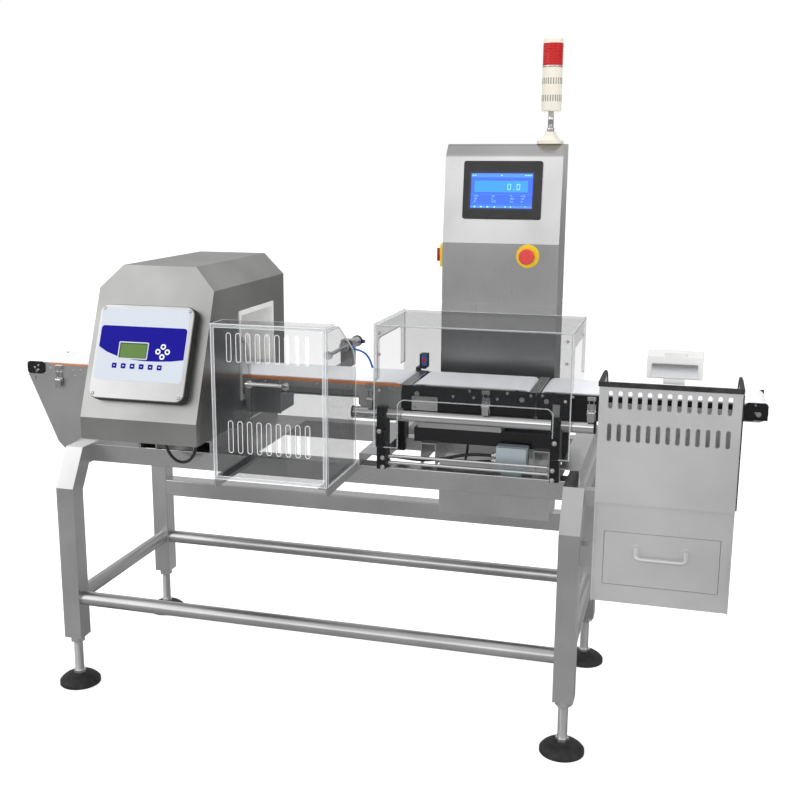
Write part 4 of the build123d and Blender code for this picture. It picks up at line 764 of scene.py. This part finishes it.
free_cable("detector_cable_run", "detector_cable", detector_cable_route, cable_diameter, cable_black)
free_cable("sensor_cable_run", "sensor_cable", sensor_cable_route, cable_diameter, cable_black)
free_cable("drive_cable_run", "drive_cable", drive_cable_route, thin_diameter, cable_black)
free_cable("air_hose_run", "air_hose", air_hose_route, thin_diameter, hose_blue)


# Painted sheen and painted highlights along the edges of the clear sheets

def clear_bin_edges():
    """Bands of painted sheen on the sheets' outer faces near their edges, and painted highlights along the
    edges and around the slots.
    """
    bands = bmesh.new()
    lit = bmesh.new()
    face = front_view(0, bin_y[0], 0)
    front = [(bin_x[0], bin_z[0]), (bin_x[1], bin_z[0]), (bin_x[1], bin_z[1]), (bin_x[0], bin_z[1])]
    # Bands of painted sheen near the edges
    add_band(bands, face, front, 9.0, lift, skin)
    # Painted highlights along the edges and around the slots
    add_band(lit, face, front, 1.4, skin, 2 * skin)
    add_band(lit, face, inset(front, 8.0), 1.0, skin, 2 * skin)
    slot_count = 9
    margin = 46.0
    for n in range(slot_count):
        x = bin_x[0] + margin + n * (bin_x[1] - bin_x[0] - 2 * margin) / (slot_count - 1)
        for bottom, top in ((959.0, 1026.0), (741.0, 817.0)):
            slot = slot_outline(x, bottom, top, 10.0)
            grown = slot_outline(x, bottom - 1.4, top + 1.4, 12.8)
            add_frame(lit, face, grown, slot, lift, 2 * skin)
    brow, nose, shoulder = (75.0, 962.0), (88.0, 905.0), (-45.0, 1041.0)
    lid, back, heel = (-134.0, 1041.0), (88.0, 672.0), (-134.0, 672.0)
    side = ([heel, back, nose] + rounded_corner(brow, nose, shoulder, bin_corner)
            + rounded_corner(shoulder, brow, lid, bin_corner) + [lid])
    mirrored = [(-y, z) for y, z in side][::-1]
    for place, outline in ((right_view(bin_x[1], 0, 0), side), (left_view(bin_x[0], 0, 0), mirrored)):
        add_band(bands, place, outline, 6.0, lift, skin)
        add_band(lit, place, outline, 1.2, skin, 2 * skin)
    lid_top = top_view(0, 0, bin_z[1])
    lid_edge = [(bin_x[0], bin_y[0]), (bin_x[1], bin_y[0]), (bin_x[1], -70.0), (bin_x[0], -70.0)]
    add_band(bands, lid_top, lid_edge, 6.0, lift, skin)
    piece("clear_bin_bands", bands, painted_sheen_edge, "clear_bin")
    piece("clear_bin_painted_highlights", lit, painted_highlight_edge, "clear_bin")


def hood_edges():
    """The same for the hood over the scale."""
    bands = bmesh.new()
    lit = bmesh.new()
    legs = (hood_x[0] + 62.0, hood_x[1] - 43.0)
    corners = [(legs[0], hood_apron), (legs[1], hood_apron)]
    outline = ([(hood_x[0], hood_z[0]), (legs[0], hood_z[0])]
               + rounded_corner(corners[0], (legs[0], hood_z[0]), corners[1], hood_corner)
               + rounded_corner(corners[1], corners[0], (legs[1], hood_z[0]), hood_corner)
               + [(legs[1], hood_z[0]), (hood_x[1], hood_z[0]), (hood_x[1], hood_z[1]),
                  (hood_x[0], hood_z[1])])
    face = front_view(0, hood_y[0], 0)
    # A band of painted sheen along the front's outline
    add_band(bands, face, outline, 3.0, lift, skin)
    # Painted highlights down the front's two upright edges
    for x in (hood_x[0], hood_x[1] - 0.9):
        add_slab(lit, face, [(x, hood_z[0]), (x + 0.9, hood_z[0]), (x + 0.9, hood_z[1]), (x, hood_z[1])],
                 skin, 2 * skin)
    top = [(hood_x[0], hood_y[0]), (hood_x[1], hood_y[0]), (hood_x[1], hood_y[1]), (hood_x[0], hood_y[1])]
    lid = top_view(0, 0, hood_z[1])
    add_band(bands, lid, top, 5.0, lift, skin)
    add_band(lit, lid, top, 1.2, skin, 2 * skin)
    bottom, bar = 890.0, 991.0
    inner = (hood_y[0] + 35.0, hood_y[1] - 35.0)
    side = ([(inner[0], bottom)]
            + rounded_corner((inner[0], bar), (inner[0], bottom), (inner[1], bar), hood_corner)
            + rounded_corner((inner[1], bar), (inner[0], bar), (inner[1], bottom), hood_corner)
            + [(inner[1], bottom), (hood_y[1], bottom), (hood_y[1], hood_z[1]), (hood_y[0], hood_z[1]),
               (hood_y[0], bottom)])
    side = side[::-1]
    mirrored = [(-y, z) for y, z in side][::-1]
    for place, points in ((right_view(hood_x[1], 0, 0), side), (left_view(hood_x[0], 0, 0), mirrored)):
        add_band(bands, place, points, 3.0, lift, skin)
        add_band(lit, place, points, 0.9, skin, 2 * skin)
    piece("hood_bands", bands, painted_sheen_edge)
    piece("hood_painted_highlights", lit, painted_highlight_edge)


clear_bin_edges()
hood_edges()


# The signal lamp

def lamp_details():
    """Ribs on the lens, a metal ring under it, a sleeve on the pole and vents in the body."""
    x, y = lamp_middle
    lens_steps = 40
    pole_steps = 24
    ribs = bmesh.new()
    for n in range(9):
        z = 1657.5 + n * 6.0
        add_turned(ribs, top_view(x, y, z), ((25.0, -1.4), (25.7, -0.7), (25.7, 0.7), (25.0, 1.4)),
                   lens_steps)
    piece("lens_ribs", ribs, dark_red_plastic, smooth=True)

    rings = bmesh.new()
    add_turned(rings, top_view(x, y, 1651.5), ((25.2, -2.0), (25.6, -1.0), (25.6, 1.0), (25.2, 2.0)),
               lens_steps)
    add_turned(rings, top_view(x, y, 1491.0), ((9.5, 0.0), (9.5, 9.0), (8.0, 11.0)), pole_steps)
    add_turned(rings, top_view(x, y, 1502.0), ((7.2, 0.0), (7.2, 40.0)), pole_steps)
    piece("lamp_rings", rings, bright_steel, smooth=True)

    vents = bmesh.new()
    vent_count = 24
    for turn in range(vent_count):
        angle = math.tau * turn / vent_count
        for z in (1566.0, 1608.0):
            spin = Matrix.Rotation(angle, 4, "Z") @ Matrix.Translation((0, -25.0 * mm, 0))
            turned = Matrix.Translation(at(x, y, z)) @ spin
            add_slab(vents, turned @ facing_front, rounded_box(-1.0, 1.0, 0.0, 16.0, 0.9, 3), -0.3, 0.25)
    piece("lamp_vents", vents, vent_shadow)


lamp_details()


def sensor_face():
    """The product sensor's blue front with its dark red window."""
    shell = bmesh.new()
    add_slab(shell, front_view(0, sensor_front, 0), rounded_box(921.0, 934.6, 889.0, 918.0, 2.0), lift, 1.2)
    piece("sensor_shell", shell, blue_plastic)
    window = bmesh.new()
    add_slab(window, front_view(0, sensor_front, 0), rounded_box(923.2, 931.2, 895.0, 912.0, 1.0), 1.2, 1.6)
    piece("sensor_window", window, dark_red_plastic)


sensor_face()


# Seals, plates, seams and fittings

def lid_seal_and_gap_shade():
    """A black ring round the lid: partly the rubber seal between the lid and the head, partly painted shade
    in the gap between them.
    """
    mesh = bmesh.new()
    add_frame(mesh, lid_face, rounded_box(-124.6, 124.6, 43.4, 276.6, 21.5),
              rounded_box(-121.8, 121.8, 46.2, 273.8, 18.8), lift, lid_front - 7.3)
    piece("lid_seal_and_gap_shade", mesh, rubber)


def transfer_plates():
    """Thin plates that bridge the gaps between the belts, on top of the side plates."""
    mesh = bmesh.new()
    for left, right in ((918.0, 942.0), (1237.0, 1261.0)):
        add_slab(mesh, top_view(0, 0, 0), rounded_box(left, right, 104.5, 299.5, 1.5, 3), 877.05, 878.8)
    piece("transfer_plates", mesh, brushed_deep)


def face_plate_skins():
    """The bright faces of the plates on both sides of the weighing conveyor."""
    mesh = bmesh.new()
    for left, right in ((948.0, 1013.0), (1294.0, 1311.0)):
        add_slab(mesh, front_view(0, face_plate_front, 0), rounded_box(left, right, 817.2, 852.0, 0.8, 3),
                 0.03, 0.45)
    piece("face_plate_skins", mesh, brushed_along_x)


def cylinder_fittings():
    """Black end caps and elbows on the air cylinder, with a blue release ring on each."""
    x, z = 665.0, 905.0
    elbow_steps = 16
    sideways = Matrix.Rotation(math.pi / 2, 4, "Y")
    caps = bmesh.new()
    rings = bmesh.new()
    for y in (567.0, 455.0):
        add_turned(caps, front_view(x, y, z), ((15.6, 0.0), (16.0, 1.0), (16.0, 12.0), (15.6, 13.0)),
                   circle_steps)
        elbow_y = y - 9.0
        add_turned(caps, top_view(x + 11.5, elbow_y, z) @ sideways,
                   ((5.5, 0.0), (5.5, 9.0), (4.6, 10.0)), elbow_steps)
        add_turned(rings, top_view(x + 21.6, elbow_y, z) @ sideways,
                   ((5.2, 0.0), (5.2, 3.0), (4.0, 4.0)), elbow_steps)
    piece("cylinder_caps", caps, black_plastic)
    piece("cylinder_rings", rings, blue_plastic)


def skirt_seam():
    """The fine weld line down the middle of the head's skirt."""
    mesh = bmesh.new()
    add_slab(mesh, front_view(0, skirt_front, 0),
             [(393.6, 758.5), (394.4, 758.5), (394.4, 811.5), (393.6, 811.5)], 0.02, 0.3)
    piece("skirt_seam", mesh, bright_steel)


def clamp_bolts():
    """Black pads with a bolt that hold the hood to the clamps, and the ends of the tie rods."""
    pads = bmesh.new()
    pad_front = 0.8
    for x in (874.0, 1304.0):
        add_slab(pads, front_view(0, hood_y[0], 0), rounded_box(x - 10.0, x + 10.0, 722.5, 774.0, 1.5),
                 lift, pad_front)
    piece("hood_pads", pads, black_anodised)
    screws("hood_bolts", front_view, [(x, hood_y[0] - pad_front, 763.0) for x in (872.0, 1304.0)], 4.6, 3.2)
    screws("tie_rod_ends", front_view,
           [(x, clamp_front, z) for x in (878.0, 1300.0) for z in (693.0, 669.0)], 4.4, 3.6)


def gland_nuts():
    """Silver nuts and sleeves on the cable glands of the junction box."""
    mesh = bmesh.new()
    sleeve_steps = 24
    hexagon = 6
    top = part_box("junction_box")[1][2] / mm
    for rise in (14.0, 28.0):
        place = left_view(*junction_glands, top - junction_height + rise)
        add_turned(mesh, place, ((7.1, 0.2), (7.6, 0.8), (7.6, 11.0), (7.1, 11.8)), sleeve_steps)
        add_turned(mesh, place, ((8.6, 0.2), (9.2, 0.8), (9.2, 4.6), (8.6, 5.2)), hexagon)
    piece("gland_nuts", mesh, bright_steel)


def edge_strip_left():
    """The copper coloured edge of the infeed belt in front of the left cover."""
    mesh = bmesh.new()
    add_slab(mesh, front_view(0, cover_front, 0),
             [(-60.0, 877.6), (178.0, 877.6), (178.0, 882.0), (-60.0, 882.0)], 0.02, 0.7)
    piece("edge_strip_left", mesh, copper_edge)


def end_slots():
    """Adjusting slots and screws in the black end fittings of the outfeed."""
    mesh = bmesh.new()
    for left, right in ((1729.0, 1742.0), (1757.0, 1774.0)):
        add_slab(mesh, front_view(0, outfeed_end_front, 0), rounded_box(left, right, 872.4, 876.4, 1.9, 4),
                 0.02, 0.3)
    piece("end_slots", mesh, silver_print)
    screws("end_screws", front_view,
           [(1750.0, outfeed_end_front, 879.0), (1751.0, outfeed_end_front, 861.0)], 2.6, 1.6)


clamp_bolts()
gland_nuts()
edge_strip_left()
end_slots()
lid_seal_and_gap_shade()
transfer_plates()
face_plate_skins()
cylinder_fittings()
skirt_seam()


# Rubber edging of the steel bin, and a black strip down its right front edge

def bin_edging():
    """The edging that follows each side sheet over its shoulder, and a thin black strip down the right front
    edge.
    """
    shoulder = ((-30, 957), (-12, 958), (5, 957), (24, 945), (44, 922), (62, 903), (80, 884), (94, 870))
    for name, x in (("left", 1421.5), ("right", 1709.5)):
        edging = round_curve("bin_edging_" + name, [(x, y, z) for y, z in shoulder], 8.0, rubber, 3, 8)
        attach(edging, machine)
    mesh = bmesh.new()
    add_slab(mesh, top_view(0, 0, 0), rounded_box(1711.2, 1714.0, -141.5, -136.0, 0.8, 3), 700.0, 948.0)
    piece("bin_edge_strip", mesh, rubber)


bin_edging()


# The floor, the light and the camera

def dim_in_reflections(material):
    """Lets the floor reflect in metal as the darker floor of a real room does."""
    tree = material.node_tree
    shader = tree.nodes["Principled BSDF"]
    path = tree.nodes.new("ShaderNodeLightPath")
    dark = tree.nodes.new("ShaderNodeBsdfDiffuse")
    dark.inputs["Color"].default_value = (0.42, 0.42, 0.42, 1)
    mix = tree.nodes.new("ShaderNodeMixShader")
    tree.links.new(path.outputs["Is Glossy Ray"], mix.inputs["Fac"])
    tree.links.new(shader.outputs["BSDF"], mix.inputs[1])
    tree.links.new(dark.outputs["BSDF"], mix.inputs[2])
    tree.links.new(mix.outputs["Shader"], tree.nodes["Material Output"].inputs["Surface"])


def floor():
    """A wide pale floor."""
    half = 60.0
    below = -0.0005
    corners = ((-half, -half), (half, -half), (half, half), (-half, half))
    mesh = bmesh.new()
    mesh.faces.new([mesh.verts.new((x, y, below)) for x, y in corners])
    data = bpy.data.meshes.new("floor")
    mesh.to_mesh(data)
    mesh.free()
    material = plain("floor paint", (0.93, 0.93, 0.93), 0.75, Emission_Color=(1.0, 1.0, 1.0, 1),
                     Emission_Strength=0.62)
    emboss(material, noise(material, (60.0, 60.0, 60.0)), 0.0001)
    dim_in_reflections(material)
    data.materials.append(material)
    ground = bpy.data.objects.new("floor", data)
    bpy.context.scene.collection.objects.link(ground)


def studio_world():
    """A surround with a bright band above the horizon in front, softer elsewhere, so metal shows its form."""
    world = bpy.data.worlds.new("studio")
    bpy.context.scene.world = world
    world.use_nodes = True
    tree = world.node_tree
    background = tree.nodes["Background"]
    coordinates = tree.nodes.new("ShaderNodeTexCoord")
    split = tree.nodes.new("ShaderNodeSeparateXYZ")
    tree.links.new(coordinates.outputs["Generated"], split.inputs["Vector"])

    def ramp(axis, start, end, low, high):
        return map_range(tree, split.outputs[axis], (start, end), (low, high), "SMOOTHSTEP")

    band = math_node(tree, "MULTIPLY", ramp("Z", 0.0, 0.18, 0.42, 1.65), ramp("Z", 0.22, 0.60, 1.0, 0.42))
    ahead = math_node(tree, "MULTIPLY", band, ramp("Y", -0.1, 0.3, 1.0, 0.25))
    brightest = math_node(tree, "MAXIMUM", ahead, ramp("Y", 0.0, 0.7, 0.30, 0.60))
    sided = math_node(tree, "MULTIPLY", brightest, ramp("X", 0.1, 0.7, 1.0, 0.62))
    path = tree.nodes.new("ShaderNodeLightPath")
    choose = tree.nodes.new("ShaderNodeMix")
    tree.links.new(path.outputs["Is Camera Ray"], choose.inputs["Factor"])
    tree.links.new(sided, choose.inputs["A"])
    choose.inputs["B"].default_value = 1.0
    tree.links.new(choose.outputs["Result"], background.inputs["Strength"])
    background.inputs["Color"].default_value = (1.0, 1.0, 1.0, 1)


def softbox(name, place, target, width, height, power, mirrored=True):
    """A rectangular lamp aimed at a place, which metal may mirror or not."""
    lamp = bpy.data.lights.new(name, "AREA")
    lamp.shape = "RECTANGLE"
    lamp.size = width
    lamp.size_y = height
    lamp.energy = power
    thing = bpy.data.objects.new(name, lamp)
    bpy.context.scene.collection.objects.link(thing)
    thing.location = place
    aim = Vector(target) - Vector(place)
    thing.rotation_euler = aim.to_track_quat("-Z", "Y").to_euler()
    thing.visible_glossy = mirrored


def camera():
    """The photograph's viewpoint."""
    data = bpy.data.cameras.new("camera")
    data.sensor_width = sensor
    data.lens = focal_pixels * sensor / picture_pixels
    data.shift_x = (picture_pixels / 2 - middle_pixel[0]) / picture_pixels
    data.shift_y = (middle_pixel[1] - picture_pixels / 2) / picture_pixels
    data.clip_start = 0.05
    data.clip_end = 120.0
    thing = bpy.data.objects.new("camera", data)
    bpy.context.scene.collection.objects.link(thing)
    thing.location = at(*camera_place)
    turn = Matrix.Rotation(camera_yaw, 4, "Z") @ Matrix.Rotation(math.pi / 2 - camera_pitch, 4, "X")
    turn = turn @ Matrix.Rotation(camera_roll, 4, "Z")
    thing.rotation_euler = turn.to_euler()
    bpy.context.scene.camera = thing


floor()
studio_world()
softbox("key", (-2.6, -2.2, 2.4), (0, 0, 0.9), 1.4, 2.4, 10)
softbox("fill", (3.2, -1.4, 2.0), (0, 0, 0.8), 1.0, 2.2, 8)
softbox("top", (0.2, 0.2, 3.6), (0, 0, 0.8), 3.0, 1.4, 62, False)
camera()
bpy.context.scene.view_settings.view_transform = "Standard"
